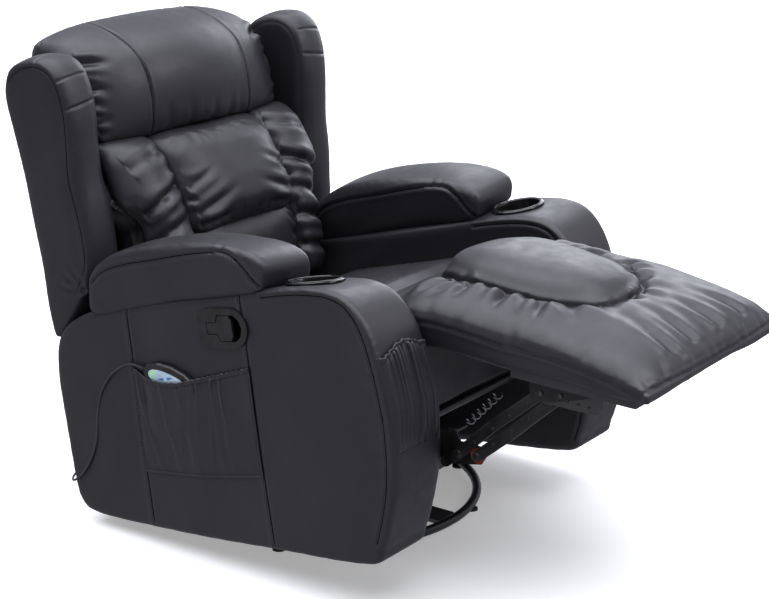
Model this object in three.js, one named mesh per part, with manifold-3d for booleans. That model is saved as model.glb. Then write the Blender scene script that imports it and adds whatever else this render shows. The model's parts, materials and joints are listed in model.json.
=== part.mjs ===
// An upholstered wing-back recliner: it swivels and rocks on a ring base, its back reclines, and
// its footrest folds out on a linkage. Millimetres, +Z up. The sitter faces -Y, so the sitter's
// right is -X. Everything that rocks is drawn level, then leaned back as one group. The footrest is
// drawn out and the back upright, which is the rest pose.

import * as THREE from "three";
import { mergeVertices } from "three/addons/utils/BufferGeometryUtils.js";
import Module from "manifold-3d";

const wasm = await Module();
wasm.setup();

// ---- Driving dimensions ----

const GAP = 0.3; // between pieces that touch
const RING_RADIUS = 291; // middle of the base tube
const RING_TUBE = 9; // radius of the base tube
const FOOT_HEIGHT = 4;
const ROCK_LEAN = THREE.MathUtils.degToRad(7); // how far the chassis leans back at rest
const ROCK_PIVOT_Z = 100; // where the rocker cams touch their rails
const FRAME_SHIFT_Y = 142; // puts the middle of the whole chair over the origin
const ARM_INNER = 255; // from the middle of the chair to each arm's faces
const ARM_OUTER = 400;
const ARM_MIDDLE = 327;
const ARM_TOP_SLOPE = 0.1; // the arm tops fall towards the sitter
const CUP = { y: -276, z: 525.5, hole: 48, rim: 52, wall: 45, bore: 42.5, depth: 62 };
const CUP_LEAN = 0.05; // radians that each cup holder tips back with the arm's top
const PLATE = 4; // thickness of the mechanism's steel plates
const SIDE_PLATE_X = 205; // inner faces of the four layers of plates, from the middle out
const REAR_LINK_X = 209.4;
const FRONT_LINK_X = 215.5;
const BRACKET_X = 219.9;
const WASHER_X = 213.7;
const PIVOT_TUBE = [-308.3, 337.9]; // [y, z] of the tube that the rear links turn with
const PIVOT_UPPER = [-465.5, 200.8]; // rear link to upper link
const PIVOT_LOWER = [-503.4, 199.6]; // rear link to lower link
const PIVOT_REACH = [-183.5, 127.2]; // both front links run from their pivot to the bracket by this
const FOOTREST_POLE = [PIVOT_TUBE[0] + PIVOT_REACH[0], PIVOT_TUBE[1] + PIVOT_REACH[1]];
const FOOTREST_CLEARANCE = 90; // the footrest's rear edge sweeps inside this radius of its pole
const PIN_RADIUS = 5;
const PIN_HOLE = 5.6;
const RECLINE_PIVOT = [185, 300]; // the back's hinge
const BACK_PIN = 8;
const BOARD_SLOPE = 0.1515; // the footrest board falls this much per millimetre forward
const BOARD_AT = [-647, 364]; // a point on the board's top face
const BOARD_THICK = 15;
const HANDLE = { y: -119, z: 451, tilt: THREE.MathUtils.degToRad(3) };
const HANDSET = { y: 18, z: 345, tilt: THREE.MathUtils.degToRad(15), long: 132, wide: 58 };
const POCKET_OUTER = 416;

// ---- Materials ----

const finish = (color, roughness, metalness = 0) =>
  new THREE.MeshStandardMaterial({ color, roughness, metalness });
const leather = finish(0x26262a, 0.45);
const cloth = finish(0x101012, 0.95);
const blackSteel = finish(0x17171a, 0.4, 0.7);
const springSteel = finish(0xc9ccd0, 0.3, 1);
const blackPlastic = finish(0x1a1a1c, 0.4);
const glossPlastic = finish(0x0c0c0e, 0.1);
const redPlastic = finish(0xb22a1c, 0.4);
const timber = finish(0xb89468, 0.8);
const rubber = finish(0x151515, 0.9);
const buttonPlastic = finish(0xb9cbe0, 0.4);

// ---- Shape helpers ----

function toSolid(geometry) {
  const bare = new THREE.BufferGeometry();
  bare.setAttribute("position", geometry.getAttribute("position"));
  if (geometry.index) bare.setIndex(geometry.index);
  const merged = mergeVertices(bare, 1e-3);
  const mesh = new wasm.Mesh({
    numProp: 3,
    vertProperties: new Float32Array(merged.getAttribute("position").array),
    triVerts: new Uint32Array(merged.index.array),
  });
  return new wasm.Manifold(mesh);
}

function toGeometry(solid) {
  const mesh = solid.getMesh();
  const geometry = new THREE.BufferGeometry();
  geometry.setAttribute("position", new THREE.BufferAttribute(mesh.vertProperties, 3));
  geometry.setIndex(new THREE.BufferAttribute(mesh.triVerts, 1));
  geometry.computeVertexNormals();
  return geometry;
}

function join(...geometries) {
  return toGeometry(geometries.map(toSolid).reduce((a, b) => a.add(b)));
}

function cut(geometry, ...tools) {
  return toGeometry(tools.map(toSolid).reduce((a, b) => a.subtract(b), toSolid(geometry)));
}

function box(xLow, xHigh, yLow, yHigh, zLow, zHigh) {
  const geometry = new THREE.BoxGeometry(xHigh - xLow, yHigh - yLow, zHigh - zLow);
  return geometry.translate((xLow + xHigh) / 2, (yLow + yHigh) / 2, (zLow + zHigh) / 2);
}

// A straight-sided outline drawn through [y, z] points.
function outline(points) {
  return new THREE.Shape(points.map(([y, z]) => new THREE.Vector2(y, z)));
}

// A closed smooth outline through [y, z] points.
function smoothOutline(points, divisions) {
  const corners = points.map(([y, z]) => new THREE.Vector3(y, z, 0));
  const curve = new THREE.CatmullRomCurve3(corners, true, "centripetal");
  const samples = curve.getSpacedPoints(divisions).slice(0, -1);
  return new THREE.Shape(samples.map((p) => new THREE.Vector2(p.x, p.y)));
}

// Takes a shape drawn in the side view (y to the right, z up) and runs it across the chair.
const SIDE_VIEW = new THREE.Matrix4().makeBasis(
  new THREE.Vector3(0, 1, 0),
  new THREE.Vector3(0, 0, 1),
  new THREE.Vector3(1, 0, 0),
);
function across(shape, xLow, xHigh, bevel = 0, bevelSegments = 2) {
  const geometry = new THREE.ExtrudeGeometry(shape, {
    depth: xHigh - xLow - 2 * bevel,
    bevelEnabled: bevel > 0,
    bevelThickness: bevel,
    bevelSize: bevel,
    bevelOffset: -bevel,
    bevelSegments,
    curveSegments: 6,
  });
  geometry.translate(0, 0, xLow + bevel);
  return geometry.applyMatrix4(SIDE_VIEW);
}

// The same on one side of the chair: side is 1 for the sitter's left and -1 for the right.
function acrossSide(side, shape, inner, outer, bevel = 0, bevelSegments = 2) {
  const low = side > 0 ? inner : -outer;
  const high = side > 0 ? outer : -inner;
  return across(shape, low, high, bevel, bevelSegments);
}

function boxSide(side, inner, outer, yLow, yHigh, zLow, zHigh) {
  const low = side > 0 ? inner : -outer;
  const high = side > 0 ? outer : -inner;
  return box(low, high, yLow, yHigh, zLow, zHigh);
}

// A rod between two points.
function rod(from, to, radius, sides = 16) {
  const start = new THREE.Vector3(...from);
  const end = new THREE.Vector3(...to);
  const along = end.clone().sub(start);
  const geometry = new THREE.CylinderGeometry(radius, radius, along.length(), sides);
  const turn = new THREE.Quaternion().setFromUnitVectors(
    new THREE.Vector3(0, 1, 0),
    along.normalize(),
  );
  geometry.applyQuaternion(turn);
  const middle = start.add(end).multiplyScalar(0.5);
  return geometry.translate(middle.x, middle.y, middle.z);
}

function rodSide(side, inner, outer, [y, z], radius, sides = 16) {
  return rod([side * inner, y, z], [side * outer, y, z], radius, sides);
}

function circle(radius, sides) {
  const points = [];
  for (let i = 0; i < sides; i += 1) {
    const angle = (2 * Math.PI * i) / sides;
    points.push(new THREE.Vector2(radius * Math.cos(angle), radius * Math.sin(angle)));
  }
  return new THREE.Shape(points);
}

function tube(points, radius, steps, sides) {
  const path = new THREE.CatmullRomCurve3(points);
  return new THREE.ExtrudeGeometry(circle(radius, sides), {
    steps,
    bevelEnabled: false,
    extrudePath: path,
  });
}

// A coil spring of round wire, upright at the origin.
function coil(radius, wire, height, turns) {
  const stepsPerTurn = 8;
  const count = turns * stepsPerTurn;
  const points = [];
  for (let i = 0; i <= count; i += 1) {
    const angle = (2 * Math.PI * i) / stepsPerTurn;
    const z = wire + ((height - 2 * wire) * i) / count;
    points.push(new THREE.Vector3(radius * Math.cos(angle), radius * Math.sin(angle), z));
  }
  return tube(points, wire, count, 5);
}

// A turned shape: profile points are [radius, z], listed from the bottom up round the outside.
function turned(profile, segments) {
  const points = profile.map(([r, z]) => new THREE.Vector2(r, z));
  return new THREE.LatheGeometry(points, segments).rotateX(Math.PI / 2);
}

// A flat link: a strip of the given width along [y, z] points, with round ends.
function strip(side, points, width, inner) {
  const half = width / 2;
  const pieces = [];
  points.forEach(([y, z]) => pieces.push(rodSide(side, inner, inner + PLATE, [y, z], half, 12)));
  for (let i = 1; i < points.length; i += 1) {
    const [y0, z0] = points[i - 1];
    const [y1, z1] = points[i];
    const length = Math.hypot(y1 - y0, z1 - z0);
    const ny = (-(z1 - z0) / length) * half;
    const nz = ((y1 - y0) / length) * half;
    const corners = [
      [y0 - ny, z0 - nz],
      [y1 - ny, z1 - nz],
      [y1 + ny, z1 + nz],
      [y0 + ny, z0 + nz],
    ];
    pieces.push(acrossSide(side, outline(corners), inner, inner + PLATE));
  }
  return join(...pieces);
}

// Drops the top of an arm, and what lies on it, towards the sitter.
function slopeInward(geometry, zFrom) {
  const position = geometry.getAttribute("position");
  for (let i = 0; i < position.count; i += 1) {
    if (position.getZ(i) < zFrom) continue;
    const inset = ARM_OUTER - Math.abs(position.getX(i));
    position.setZ(i, position.getZ(i) - inset * ARM_TOP_SLOPE);
  }
  return geometry;
}

// ---- Groups ----

const recliner = new THREE.Group();
recliner.position.y = FRAME_SHIFT_Y;

// The chassis turns about the point where its cams touch the rails.
const rocking = new THREE.Group();
rocking.position.z = ROCK_PIVOT_Z;
rocking.rotation.x = -ROCK_LEAN;
recliner.add(rocking);
const chassis = new THREE.Group();
chassis.position.z = -ROCK_PIVOT_Z;
rocking.add(chassis);

function add(parent, name, geometry, material) {
  const mesh = new THREE.Mesh(geometry, material);
  mesh.name = name;
  parent.add(mesh);
  return mesh;
}

const SIDES = [
  ["left", 1],
  ["right", -1],
];

// ---- Base ----

const RING_Z = FOOT_HEIGHT + GAP + RING_TUBE;

function buildBase() {
  const tubeSides = 10;
  const section = [];
  for (let i = 0; i <= tubeSides; i += 1) {
    const angle = (2 * Math.PI * i) / tubeSides;
    section.push([
      RING_RADIUS + RING_TUBE * Math.cos(angle),
      RING_Z + RING_TUBE * Math.sin(angle),
    ]);
  }
  add(recliner, "base_ring", turned(section, 40), blackSteel);

  const reach = RING_RADIUS - RING_TUBE - 4;
  const barHalf = 26;
  const barLow = RING_Z - 4;
  const barHigh = RING_Z + 4;
  const spider = join(
    box(-reach, reach, -barHalf, barHalf, barLow, barHigh),
    box(-barHalf, barHalf, -reach, reach, barLow, barHigh),
    rod([0, 0, barLow], [0, 0, barHigh], 85, 24),
  );
  add(recliner, "base_spider", spider, blackSteel);

  const firstFoot = THREE.MathUtils.degToRad(-72);
  ["foot_front", "foot_left", "foot_rear", "foot_right"].forEach((name, quarter) => {
    const angle = firstFoot + (quarter * Math.PI) / 2;
    const foot = rod([0, 0, 0], [0, 0, FOOT_HEIGHT], 13, 12);
    foot.translate(RING_RADIUS * Math.cos(angle), RING_RADIUS * Math.sin(angle), 0);
    add(recliner, name, foot, rubber);
  });
}

// ---- Swivel and rocker rails ----

const SWIVEL_Z = RING_Z + 4 + GAP;
const TURNTABLE_Z = SWIVEL_Z + 16 + GAP;
const RAIL_TOP = 92;
const RAIL_X = [136, 166];
const SPRING = { x: 192, y: 101, top: 122, radius: 15, wire: 2.5 };

function buildTurntable() {
  const race = turned(
    [
      [0, SWIVEL_Z],
      [95, SWIVEL_Z],
      [95, SWIVEL_Z + 6],
      [62, SWIVEL_Z + 6],
      [62, SWIVEL_Z + 16],
      [0, SWIVEL_Z + 16],
    ],
    28,
  );
  add(recliner, "lower_swivel_plate", race, blackSteel);
  const plateTop = TURNTABLE_Z + 6;
  add(recliner, "upper_swivel_plate", box(-212, 212, -120, 125, TURNTABLE_Z, plateTop), blackSteel);

  const railLow = plateTop + GAP;
  const rail = outline([
    [-165, railLow],
    [165, railLow],
    [150, RAIL_TOP],
    [-150, RAIL_TOP],
  ]);
  for (const [name, side] of SIDES) {
    add(recliner, `rocker_rail_${name}`, acrossSide(side, rail, ...RAIL_X), blackSteel);
    const spring = coil(SPRING.radius, SPRING.wire, SPRING.top - railLow, 4);
    spring.translate(side * SPRING.x, SPRING.y, railLow);
    add(recliner, `rocker_spring_${name}`, spring, springSteel);
  }
}

// ---- Mechanism on the chassis ----

const CAM_RADIUS = 300;
const CAM_LOW = 97;
const CAM_TOP = 150;

function rockerCam(side) {
  const reach = 148;
  const steps = 12;
  const points = [];
  for (let i = 0; i <= steps; i += 1) {
    const y = -reach + (2 * reach * i) / steps;
    points.push([y, CAM_LOW + CAM_RADIUS - Math.sqrt(CAM_RADIUS ** 2 - y ** 2)]);
  }
  points.push([reach, CAM_TOP], [-reach, CAM_TOP]);
  const web = acrossSide(side, outline(points), 138, 164);
  const flange = boxSide(side, 138, SIDE_PLATE_X - GAP, -reach, reach, CAM_TOP - 5, CAM_TOP);
  const springSeat = boxSide(side, 160, SIDE_PLATE_X - GAP, 82, 122, 138, CAM_TOP - 4);
  return join(web, flange, springSeat);
}

function sidePlate(side) {
  const plate = outline([
    [-362, 222],
    [-336, 220],
    [-150, 240],
    [-125, 152],
    [125, 152],
    [140, 240],
    [205, 272],
    [205, 322],
    [168, 324],
    [134, 288],
    [-250, 288],
    [-280, 362],
    [-332, 362],
    [-362, 330],
  ]);
  const blank = acrossSide(side, plate, SIDE_PLATE_X, SIDE_PLATE_X + PLATE);
  const tubeHole = rodSide(side, SIDE_PLATE_X - 1, SIDE_PLATE_X + PLATE + 1, PIVOT_TUBE, 10.3, 20);
  const backPin = rodSide(side, SIDE_PLATE_X + 1, 219, RECLINE_PIVOT, BACK_PIN, 20);
  return join(cut(blank, tubeHole), backPin);
}

function seatFrame() {
  const railHigh = 290;
  const rail = outline([
    [-357, 224],
    [-341, 224],
    [-335, 262],
    [150, 262],
    [158, 250],
    [158, 84],
    [296, 84],
    [296, 112],
    [182, 112],
    [182, 262],
    [150, railHigh],
    [-351, railHigh],
  ]);
  const front = box(-203, 203, -351, -341, 247, 392);
  const crossTube = rod([-203, -349, 232], [203, -349, 232], 8, 12);
  const rear = box(-203, 203, 272, 296, 84, 112);
  const deck = box(-203, 203, -235, 120, 276, railHigh);
  const rails = SIDES.map(([, side]) => acrossSide(side, rail, 183, 203));
  return join(front, crossTube, rear, deck, ...rails);
}

function buildMechanism() {
  for (const [name, side] of SIDES) {
    add(chassis, `rocker_cam_${name}`, rockerCam(side), blackSteel);
    add(chassis, `side_plate_${name}`, sidePlate(side), blackSteel);
  }
  add(chassis, "seat_frame", seatFrame(), blackSteel);
  add(chassis, "control_box", box(-62, 62, 196, 268, 113, 158), blackPlastic);
}

// ---- Footrest linkage ----

function reachFrom([y, z]) {
  return [y + PIVOT_REACH[0], z + PIVOT_REACH[1]];
}

function rearLink(side) {
  const plate = outline([
    [-323, 352],
    [-300, 353],
    [-290, 335],
    [-300, 318],
    [-420, 190],
    [-440, 178],
    [-508, 184],
    [-520, 199],
    [-508, 216],
    [-468, 222],
    [-460, 244],
    [-445, 244],
    [-430, 234],
  ]);
  const blank = acrossSide(side, plate, REAR_LINK_X, REAR_LINK_X + PLATE);
  const pins = [PIVOT_UPPER, PIVOT_LOWER].map((pivot) =>
    rodSide(side, REAR_LINK_X + 1, FRONT_LINK_X + PLATE - 0.2, pivot, PIN_RADIUS),
  );
  if (side < 0) pins.push(rodSide(side, 168, REAR_LINK_X + 1, SPRING_HOOK, 3, 12));
  return join(blank, ...pins);
}

function frontLink(side, pivot, tail, lift, width) {
  const head = reachFrom(pivot);
  const middle = [pivot[0] + PIVOT_REACH[0] * 0.4, pivot[1] + PIVOT_REACH[1] * 0.4 + lift];
  const points = tail ? [tail, pivot, middle, head] : [pivot, middle, head];
  const blank = strip(side, points, width, FRONT_LINK_X);
  const holes = [pivot, head].map((at) =>
    rodSide(side, FRONT_LINK_X - 1, FRONT_LINK_X + PLATE + 1, at, PIN_HOLE),
  );
  return cut(blank, ...holes);
}

function boardTop(y) {
  return BOARD_AT[1] + (y - BOARD_AT[0]) * BOARD_SLOPE;
}

function ottomanBracket(side) {
  const under = (y) => boardTop(y) - BOARD_THICK - GAP;
  const rear = -628;
  const front = -764;
  const plate = outline([
    [rear, under(rear)],
    [rear, 314],
    [-661, 311],
    [front + 14, 299],
    [front + 4, 303],
    [front, 310],
    [front, under(front)],
  ]);
  const upright = acrossSide(side, plate, BRACKET_X, BRACKET_X + PLATE);
  const flangeShape = outline([
    [front, under(front) - PLATE],
    [rear, under(rear) - PLATE],
    [rear, under(rear)],
    [front, under(front)],
  ]);
  const flange = acrossSide(side, flangeShape, BRACKET_X - 28, BRACKET_X + PLATE);
  const pins = [PIVOT_UPPER, PIVOT_LOWER].map((pivot) =>
    rodSide(side, FRONT_LINK_X + 0.2, BRACKET_X + PLATE + 2, reachFrom(pivot), PIN_RADIUS),
  );
  return join(upright, flange, ...pins);
}

// The assist spring hooks on a pin of the right rear link and runs forward and up.
const SPRING_HOOK = [-452, 236];
const ASSIST_SPRING = { x: -176, length: 100, radius: 7, wire: 1.9, turns: 6 };

function assistSpring() {
  const { x, length, radius, wire, turns } = ASSIST_SPRING;
  const spring = coil(radius, wire, length, turns);
  spring.rotateX(THREE.MathUtils.degToRad(50));
  return spring.translate(x, SPRING_HOOK[0] - 6, SPRING_HOOK[1] + 5);
}

function buildFootrest() {
  for (const [name, side] of SIDES) {
    add(chassis, `rear_link_${name}`, rearLink(side), blackSteel);
    const tail = [-436, 184];
    add(chassis, `upper_link_${name}`, frontLink(side, PIVOT_UPPER, tail, 5, 20), blackSteel);
    add(chassis, `lower_link_${name}`, frontLink(side, PIVOT_LOWER, null, -3, 21), blackSteel);
    const washer = cut(
      rodSide(side, WASHER_X, FRONT_LINK_X - GAP, PIVOT_LOWER, 14, 24),
      rodSide(side, WASHER_X - 1, FRONT_LINK_X + 1, PIVOT_LOWER, PIN_HOLE),
    );
    add(chassis, `pivot_washer_${name}`, washer, redPlastic);
    add(chassis, `ottoman_bracket_${name}`, ottomanBracket(side), blackSteel);
  }
  const tubeEnd = REAR_LINK_X - GAP;
  const torqueTube = rod([-tubeEnd, ...PIVOT_TUBE], [tubeEnd, ...PIVOT_TUBE], 9.3, 16);
  add(chassis, "torque_tube", torqueTube, blackSteel);
  add(chassis, "assist_spring", assistSpring(), springSteel);

  const boardRear = -600;
  const boardFront = -834;
  const board = outline([
    [boardRear, boardTop(boardRear)],
    [boardFront, boardTop(boardFront)],
    [boardFront, boardTop(boardFront) - BOARD_THICK],
    [boardRear, boardTop(boardRear) - BOARD_THICK],
  ]);
  add(chassis, "ottoman_board", across(board, -236, 236), leather);

  const lift = 1.5;
  const pad = smoothOutline(
    [
      [-492, 398],
      [-525, 396],
      [-560, boardTop(-560) + lift],
      [-650, boardTop(-650) + lift],
      [-740, boardTop(-740) + lift],
      [-830, boardTop(-830) + lift + 3],
      [-857, 354],
      [-850, 385],
      [-812, 420],
      [-713, 454],
      [-600, 486],
      [-510, 498],
      [-468, 484],
      [-464, 440],
    ],
    26,
  );
  add(chassis, "ottoman_pad", across(pad, -243, 243, 16), leather);
}

// ---- Seat ----

function buildSeat() {
  const cushion = smoothOutline(
    [
      [-226, 306],
      [-160, 295],
      [-60, 294],
      [20, 294],
      [100, 297],
      [119, 315],
      [119, 385],
      [56, 404],
      [-23, 416],
      [-139, 431],
      [-222, 434],
      [-238, 400],
    ],
    22,
  );
  add(chassis, "seat_cushion", across(cushion, -249, 249, 10), leather);

  const bridge = smoothOutline(
    [
      [-258, 418],
      [-340, 414],
      [-440, 412],
      [-462, 440],
      [-462, 482],
      [-400, 488],
      [-300, 470],
      [-246, 445],
    ],
    18,
  );
  const blank = across(bridge, -243, 243, 10);
  const clearance = rod([-250, ...FOOTREST_POLE], [250, ...FOOTREST_POLE], FOOTREST_CLEARANCE, 32);
  add(chassis, "chaise_bridge", cut(blank, clearance), leather);
}

// ---- Arms ----

const ARM_SIDE = [
  [-393, 48],
  [-170, 44],
  [0, 45],
  [165, 50],
  [271, 61],
  [303, 84],
  [316, 150],
  [322, 240],
  [322, 330],
  [309, 392],
  [286, 421],
  [250, 443],
  [200, 459],
  [104, 474],
  [-143, 514],
  [-260, 530],
  [-335, 533],
  [-378, 524],
  [-406, 503],
  [-430, 467],
  [-446, 410],
  [-459, 330],
  [-461, 270],
  [-452, 195],
  [-430, 120],
];

// Sets an upright shape down on an arm's sloping top, where its cup holder goes.
function cupPlace(geometry, side) {
  geometry.rotateY(-side * ARM_TOP_SLOPE);
  geometry.rotateX(-CUP_LEAN);
  return geometry.translate(side * ARM_MIDDLE, CUP.y, CUP.z);
}

function cupHole(side) {
  return cupPlace(rod([0, 0, -CUP.depth - 4], [0, 0, 30], CUP.hole, 24), side);
}

function handlePlace(geometry) {
  geometry.rotateX(-HANDLE.tilt);
  return geometry.translate(0, HANDLE.y, HANDLE.z);
}

function arm(side) {
  const blank = acrossSide(side, outline(ARM_SIDE), ARM_INNER, ARM_OUTER, 12);
  const sloped = slopeInward(blank, 450);
  if (side > 0) return cut(sloped, cupHole(side));
  const recess = handlePlace(box(-ARM_OUTER - 5, -ARM_OUTER + 26, -47, 40, -26, 26));
  return cut(sloped, cupHole(side), recess);
}

function armPad(side) {
  const pad = smoothOutline(
    [
      [198, 467],
      [104, 480],
      [-143, 520],
      [-186, 528],
      [-208, 542],
      [-218, 560],
      [-208, 580],
      [-170, 594],
      [-100, 601],
      [-27, 600],
      [55, 593],
      [119, 580],
      [168, 560],
      [198, 530],
      [207, 492],
    ],
    30,
  );
  return slopeInward(acrossSide(side, pad, 263, 401, 16), 0);
}

function cupHolder() {
  const { rim, wall, bore, depth } = CUP;
  return turned(
    [
      [0, -depth],
      [wall - 6, -depth],
      [wall, -depth + 8],
      [wall, 0],
      [rim, 0],
      [rim - 1.5, 4],
      [bore + 2, 4],
      [bore, 1],
      [bore, -depth + 8],
      [bore - 5, -depth + 2.5],
      [0, -depth + 2.5],
    ],
    24,
  );
}

function frontPocket(side) {
  const outer = boxSide(side, 270, 386, -481, -462.4, 250, 412);
  const inner = boxSide(side, 273, 383, -478.5, -460, 253, 420);
  return cut(outer, inner);
}

function buildArms() {
  for (const [name, side] of SIDES) {
    add(chassis, `arm_${name}`, arm(side), leather);
    add(chassis, `arm_pad_${name}`, armPad(side), leather);
    add(chassis, `cup_holder_${name}`, cupPlace(cupHolder(), side), glossPlastic);
    add(chassis, `front_pocket_${name}`, frontPocket(side), leather);
  }
}

// ---- Release handle ----

// A rounded outline for the handle's escutcheon and its opening, drawn about the handle's centre.
function escutcheonOutline(rear, front, half) {
  const shape = new THREE.Shape();
  shape.moveTo(front + half, -half);
  shape.lineTo(rear - half * 0.7, -half);
  shape.quadraticCurveTo(rear, -half, rear, -half * 0.3);
  shape.lineTo(rear, half * 0.3);
  shape.quadraticCurveTo(rear, half, rear - half * 0.7, half);
  shape.lineTo(front + half, half);
  shape.absarc(front + half, 0, half, Math.PI / 2, (3 * Math.PI) / 2, false);
  return shape;
}

// The opening is a key: a narrow slot for the lever's stem and a wide one for its plate and a finger.
function keyOutline() {
  return outline([
    [37, -11],
    [37, 11],
    [14, 11],
    [9, 24],
    [-28, 24],
    [-40, 15],
    [-45, 0],
    [-40, -15],
    [-28, -24],
    [9, -24],
    [14, -11],
  ]);
}

function leverOutline() {
  const inset = 1.2;
  return outline([
    [37 - inset, -11 + inset],
    [37 - inset, 11 - inset],
    [13, 11 - inset],
    [8, 24 - inset],
    [-17, 24 - inset],
    [-22, 14],
    [-22, -14],
    [-17, -24 + inset],
    [8, -24 + inset],
    [13, -11 + inset],
  ]);
}

function buildHandle() {
  const face = -ARM_OUTER - GAP;
  const plate = across(escutcheonOutline(57, -57, 36), face - 4, face);
  const opening = across(keyOutline(), face - 6, face + 2);
  add(chassis, "handle_bezel", handlePlace(cut(plate, opening)), blackPlastic);
  const lever = handlePlace(across(leverOutline(), face - 3.5, face + 2));
  add(chassis, "pull_lever", lever, blackPlastic);
}

// ---- Side pocket, handset and its cord ----

function buildSidePocket() {
  const mouth = [
    [114, 356],
    [85, 342],
    [45, 337],
    [-29, 343],
    [-92, 357],
    [-166, 373],
  ];
  const outer = outline([...mouth, [-169, 181], [-25, 167], [112, 160]]);
  const hollow = outline([[110, 385], [-162, 390], [-165, 186], [-25, 172], [108, 165]]);
  const shell = across(outer, -POCKET_OUTER, -ARM_OUTER - GAP);
  const inside = across(hollow, -POCKET_OUTER + 2, -ARM_OUTER + 4);
  add(chassis, "side_pocket", cut(shell, inside), leather);
}

function handsetPlace(geometry) {
  geometry.rotateX(HANDSET.tilt);
  return geometry.translate(0, HANDSET.y, HANDSET.z);
}

function buildHandset() {
  const { long, wide } = HANDSET;
  const faceX = -POCKET_OUTER + 3.4;
  const ellipse = new THREE.Shape();
  ellipse.absellipse(0, 0, long / 2, wide / 2, 0, 2 * Math.PI, false, 0);
  const body = across(ellipse, faceX, -ARM_OUTER - 1.4, 2.5, 1);
  const buttonX = [faceX - 1.0, faceX + 0.4];
  const buttons = [
    ["power_button", 30, 2],
    ["heat_button", 8, 2],
  ];
  const wells = buttons.map(([, y, z]) => rod([faceX - 2, y, z], [faceX + 1.5, y, z], 5.5, 12));
  add(chassis, "handset", handsetPlace(cut(body, ...wells)), blackPlastic);
  for (const [name, y, z] of buttons) {
    const button = rod([buttonX[0], y, z], [buttonX[1], y, z], 4.8, 12);
    add(chassis, name, handsetPlace(button), buttonPlastic);
  }
  const leadX = LEAD_ROUTE[0][0];
  const relief = rod([leadX, long / 2 + 0.5, 0], [leadX, long / 2 + 18, 0], 3.6, 10);
  add(chassis, "handset_strain_relief", handsetPlace(relief), rubber);
}

// The lead hangs from the handset down the side panel and goes round its rear edge to the grommet.
const LEAD_RADIUS = 2.2;
const LEAD_ROUTE = [
  [-407, 99.6, 367],
  [-407, 108, 369],
  [-407, 122, 368.5],
  [-407, 140, 362],
  [-407, 160, 351],
  [-406, 182, 333],
  [-405, 202, 309],
  [-404, 215, 284],
  [-403.5, 224, 258],
  [-403.5, 229, 234],
  [-403.5, 235, 211],
  [-403.5, 244, 192],
  [-403.5, 255, 174],
  [-403.5, 268, 157],
  [-404, 283, 141],
  [-405, 300, 127],
  [-402, 316, 121],
  [-391, 325, 125],
  [-368, 327, 134],
  [-335, 327, 142],
  [-300, 327, 148],
  [-272, 326, 151],
  [-250, 323, 153],
  [-238, 319, 153],
  [-236, 314.6, 153],
];

function buildLead() {
  const points = LEAD_ROUTE.map(([x, y, z]) => new THREE.Vector3(x, y, z));
  add(chassis, "handset_lead", tube(points, LEAD_RADIUS, 46, 8), rubber);
  const panel = box(-248, 248, 300, 306, 76, 208);
  const grommet = rod([-236, 302, 153], [-236, 313, 153], 7, 14);
  add(chassis, "rear_panel", join(panel, grommet), cloth);
}

// ---- Backrest ----

// The middle of the back's timber frame, which leans back as it rises.
function frameY(z) {
  return 274 + (z - 300) * 0.18;
}

function backFrame() {
  const depth = 24;
  const leaning = (low, high) => [
    [frameY(low) - depth / 2, low],
    [frameY(low) + depth / 2, low],
    [frameY(high) + depth / 2, high],
    [frameY(high) - depth / 2, high],
  ];
  const rails = [
    [318, 372],
    [596, 640],
    [866, 905],
  ].map(([low, high]) => across(outline(leaning(low, high)), -244, 244));
  const post = outline(leaning(318, 905));
  const panel = outline([
    [frameY(340) - 4, 340],
    [frameY(340), 340],
    [frameY(890), 890],
    [frameY(890) - 4, 890],
  ]);
  const parts = [across(panel, -220, 220)];
  for (const [, side] of SIDES) {
    parts.push(acrossSide(side, post, 205, 244));
    const ear = outline([
      [168, 290],
      [190, 280],
      [300, 330],
      [300, 380],
      [275, 380],
      [172, 318],
    ]);
    const bracket = acrossSide(side, ear, 209.6, 214.6);
    parts.push(bracket);
  }
  const holes = SIDES.map(([, side]) => rodSide(side, 208, 222, RECLINE_PIVOT, BACK_PIN + 0.7, 20));
  return cut(join(...rails, ...parts), ...holes);
}

function rearCover() {
  const skin = 6;
  const narrow = outline([
    [313, 292],
    [319, 292],
    [361, 492],
    [355, 492],
  ]);
  const wide = outline([
    [353, 480],
    [359, 480],
    [431, 870],
    [431, 928],
    [404, 934],
    [404, 928],
    [425, 922],
    [425, 870],
  ]);
  return join(across(narrow, -246, 246), across(wide, -264, 264));
}

const HEAD_PILLOW = [
  [250, 760],
  [226, 784],
  [219, 840],
  [226, 884],
  [250, 920],
  [300, 948],
  [356, 964],
  [396, 950],
  [392, 922],
  [364, 902],
  [350, 850],
  [340, 796],
  [326, 764],
];
const LUMBAR_PILLOW = [
  [134, 412],
  [120, 450],
  [124, 520],
  [136, 590],
  [154, 650],
  [182, 710],
  [212, 739],
  [312, 739],
  [296, 600],
  [262, 440],
  [225, 412],
];
const BOLSTER = [
  [146, 410],
  [142, 450],
  [156, 520],
  [176, 580],
  [202, 650],
  [228, 728],
  [245, 740],
  [312, 740],
  [296, 600],
  [262, 440],
  [225, 410],
];
const BOLSTER_WING = [
  [240, 650],
  [262, 740],
  [316, 740],
  [302, 650],
];
const WING = [
  [322, 404],
  [329, 440],
  [338, 551],
  [350, 685],
  [362, 798],
  [368, 862],
  [352, 900],
  [325, 914],
  [290, 918],
  [262, 910],
  [244, 887],
  [235, 850],
  [232, 790],
  [236, 735],
  [238, 670],
  [234, 600],
  [230, 550],
  [228, 512],
];
const LUMBAR_HALF = 165;

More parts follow.
